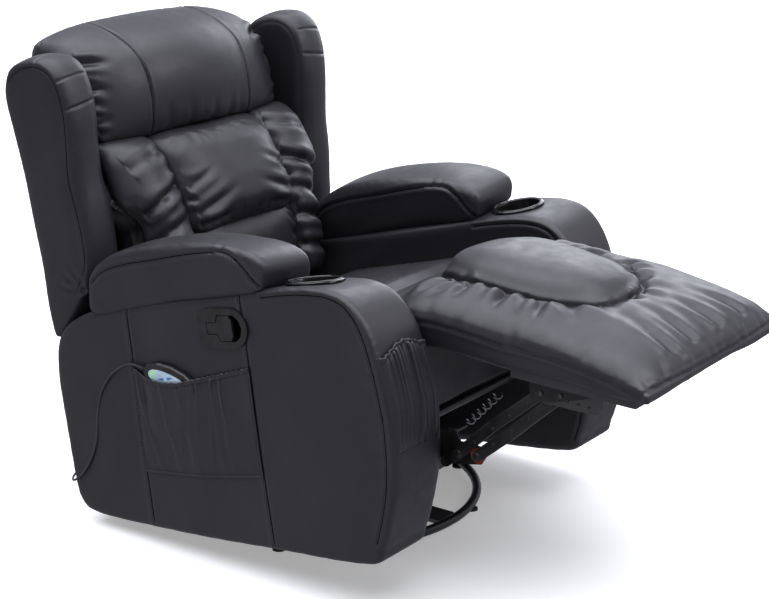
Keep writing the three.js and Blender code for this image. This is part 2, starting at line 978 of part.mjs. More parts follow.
function buildBackrest() {
  add(chassis, "back_frame", backFrame(), timber);
  add(chassis, "rear_cover", rearCover(), leather);
  add(chassis, "head_pillow", across(smoothOutline(HEAD_PILLOW, 22), -262, 262, 15), leather);
  const lumbar = across(smoothOutline(LUMBAR_PILLOW, 24), -LUMBAR_HALF, LUMBAR_HALF, 12);
  add(chassis, "lumbar_pillow", lumbar, leather);
  for (const [name, side] of SIDES) {
    const lower = acrossSide(side, smoothOutline(BOLSTER, 22), LUMBAR_HALF + 3, 248, 10);
    const upper = acrossSide(side, outline(BOLSTER_WING), 230, 292, 5);
    add(chassis, `bolster_${name}`, join(lower, upper), leather);
    const wing = acrossSide(side, outline(WING), 297, 390, 10);
    add(chassis, `wing_${name}`, wing, leather);
  }
  const motorY = frameY(640) + 13;
  const motor = rod([0, motorY, 618], [0, motorY + 18, 618], 28, 16);
  add(chassis, "vibration_motor", motor, blackPlastic);
}

buildBase();
buildTurntable();
buildMechanism();
buildFootrest();
buildSeat();
buildArms();
buildHandle();
buildSidePocket();
buildHandset();
buildLead();
buildBackrest();

export default recliner;
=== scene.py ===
"""An upholstered wing-back recliner in black leather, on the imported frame. Metres, +Z up.

Everything that rocks is worked out in the level frame: millimetres, before the chassis leans back.
"""

import json
import math
import random

import bpy
import numpy as np
from mathutils import Matrix, Vector
from mathutils.bvhtree import BVHTree

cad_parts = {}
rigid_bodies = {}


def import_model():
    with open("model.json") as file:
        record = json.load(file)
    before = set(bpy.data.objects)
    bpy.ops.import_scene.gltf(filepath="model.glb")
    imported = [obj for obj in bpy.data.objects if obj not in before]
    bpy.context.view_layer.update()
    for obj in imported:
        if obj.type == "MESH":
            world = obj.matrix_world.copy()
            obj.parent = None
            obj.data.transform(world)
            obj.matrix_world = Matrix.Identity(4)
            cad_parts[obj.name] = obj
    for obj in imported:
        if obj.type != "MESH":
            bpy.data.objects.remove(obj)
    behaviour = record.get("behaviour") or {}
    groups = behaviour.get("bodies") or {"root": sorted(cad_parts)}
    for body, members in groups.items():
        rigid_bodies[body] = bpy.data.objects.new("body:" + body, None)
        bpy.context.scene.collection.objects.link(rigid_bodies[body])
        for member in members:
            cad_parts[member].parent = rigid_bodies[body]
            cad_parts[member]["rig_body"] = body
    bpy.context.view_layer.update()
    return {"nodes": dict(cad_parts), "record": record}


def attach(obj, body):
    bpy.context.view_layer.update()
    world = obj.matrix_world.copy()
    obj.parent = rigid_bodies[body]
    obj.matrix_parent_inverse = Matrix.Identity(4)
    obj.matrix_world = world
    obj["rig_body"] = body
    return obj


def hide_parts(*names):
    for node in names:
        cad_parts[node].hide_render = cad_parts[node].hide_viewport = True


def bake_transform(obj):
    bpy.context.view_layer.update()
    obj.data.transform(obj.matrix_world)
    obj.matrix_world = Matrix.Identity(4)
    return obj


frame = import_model()

# ---- Driving dimensions, level frame, millimetres ----

LEAN = math.radians(7)
ROCK_PIVOT_Z = 100
FRAME_SHIFT_Y = 142
ARM_OUTER = 400
ARM_TOP_SLOPE = 0.1
CUP_CENTRE = (327, -276, 525.5)
CUP_LEAN = 0.05
HANDLE_CENTRE = (-119, 451)
VOXEL = 0.006
PUFF_FRAMES = 16

TURN = np.array(
    ((1, 0, 0), (0, math.cos(LEAN), math.sin(LEAN)), (0, -math.sin(LEAN), math.cos(LEAN)))
)


def to_row(points):
    """Level millimetres to row metres."""
    moved = np.asarray(points, float) - (0, 0, ROCK_PIVOT_Z)
    return (moved @ TURN.T + (0, FRAME_SHIFT_Y, ROCK_PIVOT_Z)) / 1000


def to_level(points):
    """Row metres to level millimetres."""
    moved = np.asarray(points, float) * 1000 - (0, FRAME_SHIFT_Y, ROCK_PIVOT_Z)
    return moved @ TURN + (0, 0, ROCK_PIVOT_Z)


# ---- Camera ----


def make_camera():
    data = bpy.data.cameras.new("camera")
    camera = bpy.data.objects.new("camera", data)
    bpy.context.collection.objects.link(camera)
    azimuth, elevation = math.radians(-53.91), math.radians(16.99)
    back = Vector(
        (
            math.sin(azimuth) * math.cos(elevation),
            -math.cos(azimuth) * math.cos(elevation),
            math.sin(elevation),
        )
    )
    target = Vector((0, 0.01064, 0.42639))
    camera.location = target + back * 3.52489
    camera.rotation_mode = "QUATERNION"
    camera.rotation_quaternion = (-back).to_track_quat("-Z", "Y")
    data.sensor_width = 36
    data.lens = 1853.62 / 769 * 36
    data.clip_end = 60
    bpy.context.scene.camera = camera


make_camera()

# ---- Materials ----


class Nodes:
    """A short way to write the nodes of a new material, or of the world given."""

    def __init__(self, name, world=None, shader="Principled BSDF"):
        self.material = world or bpy.data.materials.new(name)
        self.material.use_nodes = True
        self.tree = self.material.node_tree
        self.shader = self.tree.nodes[shader]
        self.coords = self.tree.nodes.new("ShaderNodeTexCoord").outputs["Object"]

    def node(self, kind, **values):
        made = self.tree.nodes.new(kind)
        for key, value in values.items():
            if key in made.inputs:
                made.inputs[key].default_value = value
            else:
                setattr(made, key, value)
        return made

    def link(self, output, socket):
        self.tree.links.new(output, socket)

    def noise(self, scale, detail=3.0, stretch=None):
        texture = self.node("ShaderNodeTexNoise", Scale=scale, Detail=detail)
        self.link(self.placed(stretch), texture.inputs["Vector"])
        return texture.outputs["Fac"]

    def placed(self, stretch):
        if stretch is None:
            return self.coords
        mapping = self.node("ShaderNodeMapping", Scale=stretch)
        self.link(self.coords, mapping.inputs["Vector"])
        return mapping.outputs["Vector"]

    def cells(self, scale):
        texture = self.node("ShaderNodeTexVoronoi", feature="DISTANCE_TO_EDGE", Scale=scale)
        self.link(self.coords, texture.inputs["Vector"])
        return texture.outputs["Distance"]

    def ramp(self, value, low, high, at=(0.0, 1.0)):
        ramp = self.node("ShaderNodeValToRGB")
        for element, position, colour in zip(ramp.color_ramp.elements, at, (low, high)):
            element.position = position
            element.color = colour if len(colour) == 4 else (*colour, 1)
        self.link(value, ramp.inputs["Fac"])
        return ramp.outputs["Color"]

    def span(self, value, low, high, start=0.0, stop=1.0):
        limits = {"From Min": start, "From Max": stop, "To Min": low, "To Max": high}
        mapped = self.node("ShaderNodeMapRange", **limits)
        self.link(value, mapped.inputs["Value"])
        return mapped.outputs["Result"]

    def combine(self, operation, a, b):
        made = self.node("ShaderNodeMath", operation=operation)
        self.link(a, made.inputs[0])
        self.link(b, made.inputs[1])
        return made.outputs[0]

    def mix(self, factor, a, b):
        mixer = self.node("ShaderNodeMix", data_type="RGBA")
        self.link(factor, mixer.inputs["Factor"])
        self.link(a, mixer.inputs[6])
        self.link(b, mixer.inputs[7])
        return mixer.outputs[2]

    def bump(self, height, strength, distance, under=None):
        bump = self.node("ShaderNodeBump", Strength=strength, Distance=distance)
        self.link(height, bump.inputs["Height"])
        if under is not None:
            self.link(under, bump.inputs["Normal"])
        return bump.outputs["Normal"]

    def edges(self, low=0.5, high=0.56):
        """Bright where the surface is sharply convex, for wear."""
        geometry = self.node("ShaderNodeNewGeometry")
        return self.span(geometry.outputs["Pointiness"], 0, 1, low, high)

    def set(self, **sockets):
        for name, value in sockets.items():
            socket = self.shader.inputs[name.replace("_", " ")]
            if hasattr(value, "links") or hasattr(value, "is_output"):
                self.link(value, socket)
            else:
                socket.default_value = value
        return self.material


def grey(value, blue=1.0):
    return (value, value, value * blue, 1)


def leather_material():
    """Bonded leather: a fine pebble grain, soft wrinkles and slightly rubbed high places."""
    n = Nodes("black_leather")
    patch = n.noise(7, 4)
    base = n.ramp(patch, (0.0175, 0.0172, 0.0205), (0.0235, 0.0232, 0.0275), (0.3, 0.7))
    worn = n.node("ShaderNodeRGB")
    worn.outputs[0].default_value = (0.055, 0.054, 0.060, 1)
    colour = n.mix(n.span(n.edges(), 0, 0.4), base, worn.outputs[0])
    rough = n.span(n.noise(38, 5), 0.34, 0.46, 0.3, 0.7)
    grain = n.bump(n.cells(820), 0.2, 0.0004)
    wrinkle = n.bump(n.noise(95, 6, (1, 1.4, 0.7)), 0.1, 0.0012, grain)
    soft = n.bump(n.noise(16, 3), 0.08, 0.006, wrinkle)
    return n.set(Base_Color=colour, Roughness=rough, Normal=soft, Specular_IOR_Level=0.52)


def thread_material():
    n = Nodes("stitching_thread")
    twist = n.noise(900, 2, (1, 1, 6))
    colour = n.ramp(twist, grey(0.010, 1.05), grey(0.022, 1.05))
    return n.set(Base_Color=colour, Roughness=0.7, Normal=n.bump(twist, 0.4, 0.0002))


def seam_shade_material():
    """Painted shade: a near-black finish that stands in for the shade at the bottom of a sewn seam."""
    n = Nodes("seam_shadow")
    colour = n.ramp(n.noise(300, 2), grey(0.0015), grey(0.004))
    return n.set(Base_Color=colour, Roughness=0.9, Specular_IOR_Level=0.1)


def cloth_material():
    """Non-woven dust cloth with a fine crossed weave."""
    n = Nodes("black_dust_cloth")
    weave = n.combine("MULTIPLY", n.noise(420, 3, (4, 1, 1)), n.noise(420, 3, (1, 1, 4)))
    colour = n.ramp(weave, grey(0.006), grey(0.02), (0.1, 0.5))
    fibres = n.bump(weave, 0.5, 0.0006)
    return n.set(Base_Color=colour, Roughness=0.95, Sheen_Weight=0.15, Normal=fibres)


def steel_material():
    """Black powder coat, rubbed to grey at the edges."""
    n = Nodes("black_powder_coat")
    base = n.ramp(n.noise(30, 4), grey(0.010), grey(0.020), (0.3, 0.7))
    worn = n.node("ShaderNodeRGB")
    worn.outputs[0].default_value = grey(0.09)
    colour = n.mix(n.span(n.edges(0.52, 0.62), 0, 0.6), base, worn.outputs[0])
    rough = n.span(n.noise(60, 3), 0.28, 0.42, 0.3, 0.7)
    dust = n.bump(n.noise(1400, 2), 0.12, 0.0003)
    return n.set(Base_Color=colour, Roughness=rough, Metallic=0.2, Normal=dust)


def bright_material(name, value, rough):
    """Bare bright wire or plating with fine draw marks."""
    n = Nodes(name)
    marks = n.noise(600, 3, (1, 1, 0.1))
    colour = n.ramp(marks, grey(value * 0.8), grey(value), (0.3, 0.7))
    shine = n.span(marks, rough * 0.7, rough * 1.3)
    return n.set(Base_Color=colour, Roughness=shine, Metallic=1.0, Normal=n.bump(marks, 0.1, 0.0002))


def plastic_material(name, low, high, rough, grain=0.1):
    """Moulded plastic with a faint spark-eroded texture."""
    n = Nodes(name)
    colour = n.ramp(n.noise(45, 3), grey(low), grey(high), (0.3, 0.7))
    texture = n.bump(n.noise(1900, 2), grain, 0.0003)
    shine = n.span(n.noise(80, 3), rough * 0.8, rough * 1.2, 0.3, 0.7)
    return n.set(Base_Color=colour, Roughness=shine, Normal=texture)


def tinted_plastic(name, dark, light, rough):
    """Moulded plastic in a colour."""
    n = Nodes(name)
    colour = n.ramp(n.noise(50, 3), dark, light, (0.3, 0.7))
    texture = n.bump(n.noise(1500, 2), 0.06, 0.0003)
    return n.set(Base_Color=colour, Roughness=rough, Normal=texture)


def timber_material():
    n = Nodes("sawn_timber")
    grain = n.noise(40, 6, (1, 1, 0.08))
    colour = n.ramp(grain, (0.34, 0.22, 0.11), (0.56, 0.40, 0.22), (0.35, 0.65))
    return n.set(Base_Color=colour, Roughness=0.75, Normal=n.bump(grain, 0.3, 0.001))


LEATHER = leather_material()
THREAD = thread_material()
# The next finish is painted shade: near-black, for the bottoms of the seam grooves.
SEAM_SHADE = seam_shade_material()
CLOTH = cloth_material()
STEEL = steel_material()
SPRING_WIRE = bright_material("spring_wire", 0.34, 0.3)
CHROME = bright_material("smoked_chrome", 0.24, 0.14)
PLASTIC = plastic_material("satin_black_plastic", 0.012, 0.022, 0.33)
GLOSS = plastic_material("gloss_black_plastic", 0.006, 0.009, 0.09, 0.02)
RUBBER = plastic_material("black_rubber", 0.012, 0.02, 0.6, 0.3)
LEAD = plastic_material("grey_cable_sheath", 0.03, 0.045, 0.45, 0.1)
RED = tinted_plastic("red_washer", (0.42, 0.02, 0.012), (0.55, 0.035, 0.02), 0.3)
BUTTON = tinted_plastic("pale_button", (0.30, 0.48, 0.62), (0.42, 0.60, 0.72), 0.35)
LABEL = tinted_plastic("pale_label", (0.34, 0.46, 0.56), (0.44, 0.56, 0.64), 0.3)
LABEL_GREEN = tinted_plastic("green_label", (0.30, 0.62, 0.30), (0.42, 0.72, 0.40), 0.3)
LABEL_BLUE = tinted_plastic("blue_label", (0.04, 0.12, 0.42), (0.07, 0.18, 0.52), 0.3)
TIMBER = timber_material()

SLOT_MATERIALS = {
    "leather": LEATHER,
    "cloth": CLOTH,
    "black_steel": STEEL,
    "spring_steel": SPRING_WIRE,
    "black_plastic": PLASTIC,
    "gloss_plastic": GLOSS,
    "red_plastic": RED,
    "button_plastic": BUTTON,
    "timber": TIMBER,
    "rubber": RUBBER,
}


def paint_cad_nodes():
    for part in frame["record"]["subparts"]:
        node = frame["nodes"][part["node"]]
        node.data.materials.clear()
        node.data.materials.append(SLOT_MATERIALS[part["material_slot"]])
    # The frame is lined, so no bare timber shows between the cushions.
    frame["nodes"]["back_frame"].data.materials[0] = CLOTH


# ---- Curves and meshes ----


def spline(points, count, closed=False):
    """Evenly spaced points along a smooth curve through the given ones."""
    p = np.asarray(points, float)
    if closed:
        p = np.vstack([p[-1:], p, p[:2]])
    else:
        p = np.vstack([2 * p[:1] - p[1:2], p, 2 * p[-1:] - p[-2:-1]])
    t = np.linspace(0, 1, 17)[:-1, None]
    rows = []
    for a, b, c, d in zip(p, p[1:], p[2:], p[3:]):
        bend = (2 * a - 5 * b + 4 * c - d) * t**2 + (3 * b - a - 3 * c + d) * t**3
        rows.append(0.5 * (2 * b + (c - a) * t + bend))
    line = np.vstack([*rows, p[-2:-1]])
    along = np.concatenate([[0], np.cumsum(np.linalg.norm(np.diff(line, axis=0), axis=1))])
    wanted = np.linspace(0, along[-1], count + 1 if closed else count)
    out = np.stack([np.interp(wanted, along, line[:, i]) for i in range(p.shape[1])], 1)
    return out[:-1] if closed else out


def new_object(name, mesh, material):
    obj = bpy.data.objects.new(name, mesh)
    bpy.context.collection.objects.link(obj)
    mesh.materials.clear()
    mesh.materials.append(material)
    return obj


def mesh_object(name, points, faces, material, level=True):
    mesh = bpy.data.meshes.new(name)
    where = to_row(points) if level else np.asarray(points, float)
    mesh.from_pydata([tuple(p) for p in where], [], faces)
    shade_smooth(mesh)
    mesh.update()
    return new_object(name, mesh, material)


def finished(obj, body, slot, *nodes):
    """The piece rides on a body and stands for CAD nodes; slot is not used."""
    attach(obj, body)
    if nodes:
        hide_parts(*nodes)
    return obj


def grid_faces(rows, columns, wrap=False, start=0):
    """Quads of a grid whose points are listed row by row."""
    faces = []
    for i in range(rows - 1):
        for j in range(columns if wrap else columns - 1):
            k = (j + 1) % columns
            a = start + i * columns
            b = a + columns
            faces.append((a + j, a + k, b + k, b + j))
    return faces


def run_length(line):
    return np.linalg.norm(np.diff(line, axis=0), axis=1).sum()


def round_turn(count):
    """Evenly spaced angles of a full circle."""
    return [2 * math.pi * k / count for k in range(count)]


def tangents(path):
    """Unit directions along a path of points."""
    along = np.vstack([path[1:], path[-1:]]) - np.vstack([path[:1], path[:-1]])
    return along / np.maximum(np.linalg.norm(along, axis=1), 1e-9)[:, None]


def inward_of(ring):
    """Unit directions that point into a closed ring of [y, z] points."""
    after = np.roll(ring, -1, 0) - np.roll(ring, 1, 0)
    inward = np.stack([-after[:, 1], after[:, 0]], 1)
    inward /= np.linalg.norm(inward, axis=1)[:, None]
    area = np.sum(ring[:, 0] * np.roll(ring[:, 1], -1) - np.roll(ring[:, 0], -1) * ring[:, 1])
    return inward if area > 0 else -inward


def capped_faces(rows, sides, start=0):
    """Faces of a tube made of rings of points, closed at both ends."""
    last = start + (rows - 1) * sides
    caps = [tuple(range(start + sides - 1, start - 1, -1)), tuple(range(last, last + sides))]
    return grid_faces(rows, sides, wrap=True, start=start) + caps


def slab(outline, low, high, edge, steps=5):
    """A closed shape: a [y, z] outline run across x, its two ends rounded over by edge."""
    ring = np.asarray(outline, float)
    inward = inward_of(ring)
    angles = np.linspace(0, math.pi / 2, steps)
    turned = [(low + edge * (1 - math.cos(a)), edge * (1 - math.sin(a))) for a in angles]
    middle = [(x, 0) for x in np.linspace(low + edge, high - edge, 12)[1:-1]]
    other = [(low + high - x, inset) for x, inset in reversed(turned)]
    points = []
    for x, inset in [*turned, *middle, *other]:
        points += [(x, y, z) for y, z in ring + inward * inset]
    return np.array(points), capped_faces(len(points) // len(ring), len(ring))


def shade_smooth(mesh):
    mesh.polygons.foreach_set("use_smooth", [True] * len(mesh.polygons))


def apply_modifiers(obj):
    """Bakes an object's modifiers into its mesh."""
    graph = bpy.context.evaluated_depsgraph_get()
    mesh = bpy.data.meshes.new_from_object(obj.evaluated_get(graph), depsgraph=graph)
    old = obj.data
    obj.modifiers.clear()
    obj.data = mesh
    bpy.data.meshes.remove(old)
    return mesh


# ---- Soft pieces ----

PUFFS = []


def smooth_step(x):
    x = np.clip(x, 0, 1)
    return x * x * (3 - 2 * x)


def groove(away, width, ridge):
    """The section of a fold: a valley, and a low ridge on each side of it."""
    return -np.exp(-((away / width) ** 2)) + ridge * np.exp(-(((away - 2.1 * width) / (1.1 * width)) ** 2))


class Soft:
    """An upholstered piece, shaped in the level frame."""

    def __init__(self, name, points, faces, voxel=VOXEL, smooth=6):
        self.obj = mesh_object(name, points, faces, LEATHER)
        remesh = self.obj.modifiers.new("remesh", "REMESH")
        remesh.mode = "VOXEL"
        remesh.voxel_size = voxel
        smoothing = self.obj.modifiers.new("smooth", "SMOOTH")
        smoothing.factor = 0.5
        smoothing.iterations = smooth
        self.bake()

    def bake(self):
        """Applies the modifiers and reads the points back."""
        shade_smooth(apply_modifiers(self.obj))
        self.read()

    def read(self):
        mesh = self.obj.data
        mesh.update()
        flat = np.empty(len(mesh.vertices) * 3)
        mesh.vertices.foreach_get("co", flat)
        self.co = to_level(flat.reshape(-1, 3))
        mesh.vertex_normals.foreach_get("vector", flat)
        self.no = flat.reshape(-1, 3) @ TURN

    def write(self):
        self.obj.data.vertices.foreach_set("co", to_row(self.co).ravel())
        self.read()

    def puff(self, pressure=3.5, cap=14, growth=0.03):
        """Queues the piece to be blown up as a cloth bag; inflate() runs the whole queue."""
        PUFFS.append((self, cap))
        cloth = self.obj.modifiers.new("puff", "CLOTH")
        cloth.settings.quality = 4
        cloth.settings.use_pressure = True
        cloth.settings.uniform_pressure_force = pressure
        cloth.settings.shrink_min = -growth
        cloth.settings.effector_weights.gravity = 0
        cloth.settings.bending_stiffness = 0.3
        cloth.collision_settings.use_collision = False

    def refine(self):
        self.obj.modifiers.new("refine", "SUBSURF").levels = 1
        self.bake()

    def evened(self, values, times):
        """Values on the points, averaged with their neighbours a number of times."""
        mesh = self.obj.data
        pairs = np.empty(len(mesh.edges) * 2, int)
        mesh.edges.foreach_get("vertices", pairs)
        a, b = pairs.reshape(-1, 2).T
        count = len(mesh.vertices)
        degree = np.bincount(np.concatenate([a, b]), minlength=count)[:, None]
        for _ in range(times):
            total = [np.bincount(a, v[b], count) + np.bincount(b, v[a], count) for v in values.T]
            values = 0.5 * values + 0.5 * np.stack(total, 1) / degree
        return values

    def surface(self):
        faces = [tuple(f.vertices) for f in self.obj.data.polygons]
        return BVHTree.FromPolygons([Vector(p) for p in self.co], faces)

    def nearest(self, point, tree):
        place, normal, _, _ = tree.find_nearest(Vector(point))
        return np.array(place), np.array(normal)

    def move(self, amount):
        self.co += self.no * amount[:, None]

    def lump(self, centre, size, height):
        """A soft swelling, or a hollow where height is negative."""
        r = np.linalg.norm((self.co - centre) / size, axis=1)
        self.move(height * np.exp(-(r**2)))

    def undulate(self, scale, height, seed):
        """Slow random waves, the same every time."""
        draw = random.Random(seed)
        total = np.zeros(len(self.co))
        for _ in range(7):
            wave = np.array([draw.gauss(0, 1) for _ in range(3)])
            wave *= 2 * math.pi / scale / np.linalg.norm(wave) * draw.uniform(0.6, 1.5)
            total += np.sin(self.co @ wave + draw.uniform(0, 6.28))
        self.move(total / 7 * height * 1.6)

    def crease(self, start, end, width, depth, fade=(0.1, 0.6), ridge=0.4, out=None):
        """A fold in the skin from start to end, with a low ridge on each side of it."""
        a, b = np.asarray(start, float), np.asarray(end, float)
        run = b - a
        length = np.linalg.norm(run)
        if length < 1:
            return
        rel = self.co - a
        t = rel @ run / length**2
        off = rel - t[:, None] * run
        near = (t > 0) & (t < 1) & (np.einsum("ij,ij->i", off, off) < (width * 5 + 12) ** 2)
        if out is not None:
            near &= self.no @ np.asarray(out, float) > 0.15
        if not near.any():
            return
        off, t, normal = off[near], t[near], self.no[near]
        off -= np.einsum("ij,ij->i", off, normal)[:, None] * normal
        side = np.linalg.norm(off, axis=1)
        size = smooth_step(t / max(fade[0], 1e-3)) * smooth_step((1 - t) / max(fade[1], 1e-3))
        self.co[near] += normal * (depth * groove(side, width, ridge) * size)[:, None]

    def fold(self, points, width, depth, ridge=0.4, out=None):
        """A crease along a polyline, full depth all the way."""
        line = np.asarray(points, float)
        best = np.full(len(self.co), 1e9)
        low, high = line.min(0) - 5 * width - 8, line.max(0) + 5 * width + 8
        near = np.all((self.co > low) & (self.co < high), axis=1)
        if out is not None:
            near &= self.no @ np.asarray(out, float) > 0.1
        index = np.flatnonzero(near)
        if not len(index):
            return
        co, no = self.co[index], self.no[index]
        for a, b in zip(line, line[1:]):
            run = b - a
            t = np.clip((co - a) @ run / (run @ run), 0, 1)
            off = co - a - t[:, None] * run
            off -= 0.7 * np.einsum("ij,ij->i", off, no)[:, None] * no
            best[index] = np.minimum(best[index], np.linalg.norm(off, axis=1))
        self.co[index] += no * (depth * groove(best[index], width, ridge))[:, None]

    def gathers(self, line, toward, spacing, length, depth, width, seed, swing=0.5, out=None):
        """Small random folds that start on a seam and run toward a direction."""
        draw = random.Random(seed)
        line = np.asarray(line, float)
        run = np.linalg.norm(np.diff(line, axis=0), axis=1)
        along = np.concatenate([[0], np.cumsum(run)])
        place = spacing * draw.uniform(0.2, 0.8)
        tree = self.surface()
        while place < along[-1]:
            start = np.array([np.interp(place, along, line[:, i]) for i in range(3)])
            where = toward(start) if callable(toward) else np.asarray(toward, float)
            tangent = np.array([np.interp(place + 5, along, line[:, i]) for i in range(3)]) - start
            norm = np.linalg.norm(tangent)
            if norm > 0:
                where = where / np.linalg.norm(where) + tangent / norm * draw.uniform(-swing, swing)
            where = where / np.linalg.norm(where)
            reach = length * draw.uniform(0.45, 1.25)
            begin, _ = self.nearest(start, tree)
            stop, _ = self.nearest(begin + where * reach, tree)
            deep = depth * draw.uniform(0.5, 1.2)
            wide = width * draw.uniform(0.7, 1.4)
            self.crease(begin, stop, wide, deep, (0.06, 0.8), 0.45, out)
            place += spacing * draw.uniform(0.6, 1.5)


def inflate():
    """Runs every queued cloth bag together, then keeps each point within its cap."""
    if not PUFFS:
        return
    scene = bpy.context.scene
    for step in range(1, PUFF_FRAMES + 1):
        scene.frame_set(step)
    graph = bpy.context.evaluated_depsgraph_get()
    for soft, cap in PUFFS:
        mesh = soft.obj.evaluated_get(graph).to_mesh()
        flat = np.empty(len(mesh.vertices) * 3)
        mesh.vertices.foreach_get("co", flat)
        moved = soft.evened(to_level(flat.reshape(-1, 3)) - soft.co, 60)
        size = np.linalg.norm(moved, axis=1)
        moved *= (cap * np.tanh(size / cap) / np.maximum(size, 1e-6))[:, None]
        soft.obj.modifiers.clear()
        soft.co = soft.co + moved
    for soft, _ in PUFFS:
        soft.write()
    scene.frame_set(1)


# ---- Stitching ----


STITCH_PITCH = 6.2


def add_stitch(points, faces, centre, axes, length, radius, sunk):
    """One stitch: a short bar with thinner ends, which dip into the skin when sunk."""
    along, beside, up = axes
    start = len(points)
    inner = (0.3, 1, 0.1) if sunk else (0.2, 1, 0)
    outer = (0.5, 0.35, -0.6) if sunk else (0.35, 0.35, 0)
    for way, (place, size, lift) in ((-1, outer), (-1, inner), (1, inner), (1, outer)):
        at = centre + along * way * place * length + up * radius * lift
        for angle in round_turn(4):
            points.append(at + (beside * math.cos(angle) + up * math.sin(angle)) * radius * size)
    faces += capped_faces(4, 4, start)


def stitch_rows(name, softs, lines, body, offsets=(-4, 4)):
    """Rows of small thread stitches beside seam lines, laid on the given pieces."""
    trees = [soft.surface() for soft in softs]
    points, faces = [], []

    def on_surface(p):
        found = min((tree.find_nearest(Vector(p)) for tree in trees), key=lambda f: f[3])
        return np.array(found[0]), np.array(found[1])

    for line in lines:
        line = np.asarray(line, float)
        path = spline(line, max(3, int(run_length(line) / STITCH_PITCH)))
        for a, b in zip(path, path[1:]):
            middle, normal = on_surface((a + b) / 2)
            along = b - a
            along -= along @ normal * normal
            along /= max(np.linalg.norm(along), 1e-9)
            beside = np.cross(along, normal)
            for offset in offsets:
                centre, up = on_surface(middle + beside * offset)
                add_stitch(points, faces, centre, (along, beside, up), 4.4, 0.55, True)
    return finished(mesh_object(name, points, faces, THREAD), body, "leather")


def seam_shade_tubes(name, softs, lines, body, radius=0.9):
    """Painted shade: a thin near-black tube sunk along each seam, standing in for the shade in its groove."""
    trees = [soft.surface() for soft in softs]
    points, faces = [], []
    sides = 6
    for line in lines:
        line = np.asarray(line, float)
        path = spline(line, max(3, int(run_length(line) / 5)))
        found = [min((tree.find_nearest(Vector(p)) for tree in trees), key=lambda f: f[3]) for p in path]
        spots = np.array([tuple(f[0]) for f in found])
        ups = np.array([tuple(f[1]) for f in found])
        for values in (spots, ups) * 3:
            values[1:-1] = (values[:-2] + 2 * values[1:-1] + values[2:]) / 4
        faces += capped_faces(len(spots), sides, len(points))
        for spot, up, tangent in zip(spots, ups, tangents(spots)):
            across = np.cross(tangent, up)
            across /= max(np.linalg.norm(across), 1e-9)
            for angle in round_turn(sides):
                spoke = across * math.cos(angle) + up * math.sin(angle)
                points.append(spot - up * radius * 0.2 + radius * spoke)
    return finished(mesh_object(name, points, faces, SEAM_SHADE), body, "leather")


SIDES = (("left", 1), ("right", -1))


# ---- Base and swivel ----

RING_RADIUS = 0.291
RING_TUBE = 0.009
RING_CENTRE_Z = 0.0133


def build_base():
    bpy.ops.mesh.primitive_torus_add(
        location=(0, FRAME_SHIFT_Y / 1000, RING_CENTRE_Z),
        major_radius=RING_RADIUS,
        minor_radius=RING_TUBE,
        major_segments=144,
        minor_segments=24,
    )
    ring = bpy.context.object
    ring.name = "base_ring_tube"
    ring.data.materials.append(STEEL)
    shade_smooth(ring.data)
    finished(ring, "base", "black_steel", "base_ring")
    for index in range(8):
        angle = math.radians(-72 + 45 * index)
        glide = disc("glide_%d" % index, 0.013, 0.0042, 0.0012, 24, RUBBER)
        across, along = RING_RADIUS * math.cos(angle), RING_RADIUS * math.sin(angle)
        glide.location = (across, FRAME_SHIFT_Y / 1000 + along, 0)
        finished(glide, "base", "rubber")
    for name in ("foot_front", "foot_left", "foot_rear", "foot_right"):
        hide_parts(name)


def disc(name, radius, height, bevel, sides, material):
    """A low round disc with a bevelled top edge, standing on its origin."""
    top = [(radius, height - bevel), (radius - bevel, height), (0.0005, height)]
    return lathe(name, [(0.0005, 0), (radius, 0), *top], sides, material)


def rings(profile, sides):
    """Points of circles about Z, one for each (radius, z)."""
    return [(r * math.cos(a), r * math.sin(a), z) for r, z in profile for a in round_turn(sides)]


def lathe(name, profile, sides, material):
    """A turned shape about Z; profile points are (radius, z) from the bottom up, in metres."""
    faces = capped_faces(len(profile), sides)
    obj = mesh_object(name, rings(profile, sides), faces, material, level=False)
    sharpen(obj)
    return obj


def sharpen(obj, degrees=35):
    """Smooth shading, but crisp where faces meet at more than this angle."""
    obj.data.set_sharp_from_angle(angle=math.radians(degrees))


# ---- Back ----

BACK_CROWN = [(126, 402), (121, 440), (124, 520), (134, 590), (150, 650), (178, 708), (206, 742)]


def crown_y(z):
    points = np.array(BACK_CROWN, float)
    return np.interp(z, points[:, 1], points[:, 0])


def panel_solid(front, back):
    """A closed shape from a front grid of points and a back grid of the same size."""
    rows, columns, _ = front.shape
    points = np.vstack([front.reshape(-1, 3), back.reshape(-1, 3)])
    faces = [tuple(reversed(f)) for f in grid_faces(rows, columns)]
    base = rows * columns
    faces += grid_faces(rows, columns, start=base)
    rim = list(range(columns))
    rim += [r * columns + columns - 1 for r in range(1, rows)]
    rim += [(rows - 1) * columns + c for c in range(columns - 2, -1, -1)]
    rim += [r * columns for r in range(rows - 2, 0, -1)]
    for a, b in zip(rim, rim[1:] + rim[:1]):
        faces.append((a, b, b + base, a + base))
    return points, faces


def back_panel(name, inner, outer, bottom, top, face):
    """A back cushion between two x limits (functions of z), its face given by face(z, u, v)."""
    rows, columns = 40, 26
    front = np.zeros((rows, columns, 3))
    for r, v in enumerate(np.linspace(0, 1, rows)):
        for c, u in enumerate(np.linspace(0, 1, columns)):
            z = bottom + (top - bottom) * v
            x = inner(z) + (outer(z) - inner(z)) * u
            front[r, c] = (x, face(z, u, v), z)
    back = front.copy()
    back[:, :, 1] = np.maximum(front[:, :, 1] + 14, back_lining_y(front[:, :, 2]))
    return Soft(name, *panel_solid(front, back))


def rolled(t, edge):
    """Depth of a rounded edge: 1 at the rim, 0 further in than edge."""
    k = np.clip(1 - t / edge, 0, 1)
    return 1 - math.sqrt(max(0.0, 1 - k * k))


LUMBAR_HALF = 152
LUMBAR_SPLIT = 560


def back_lining_y(z):
    return 252 + (z - 300) * 0.18


def bolster_outer_x(z):
    return 248 + 42 * float(smooth_step((z - 585) / 60))


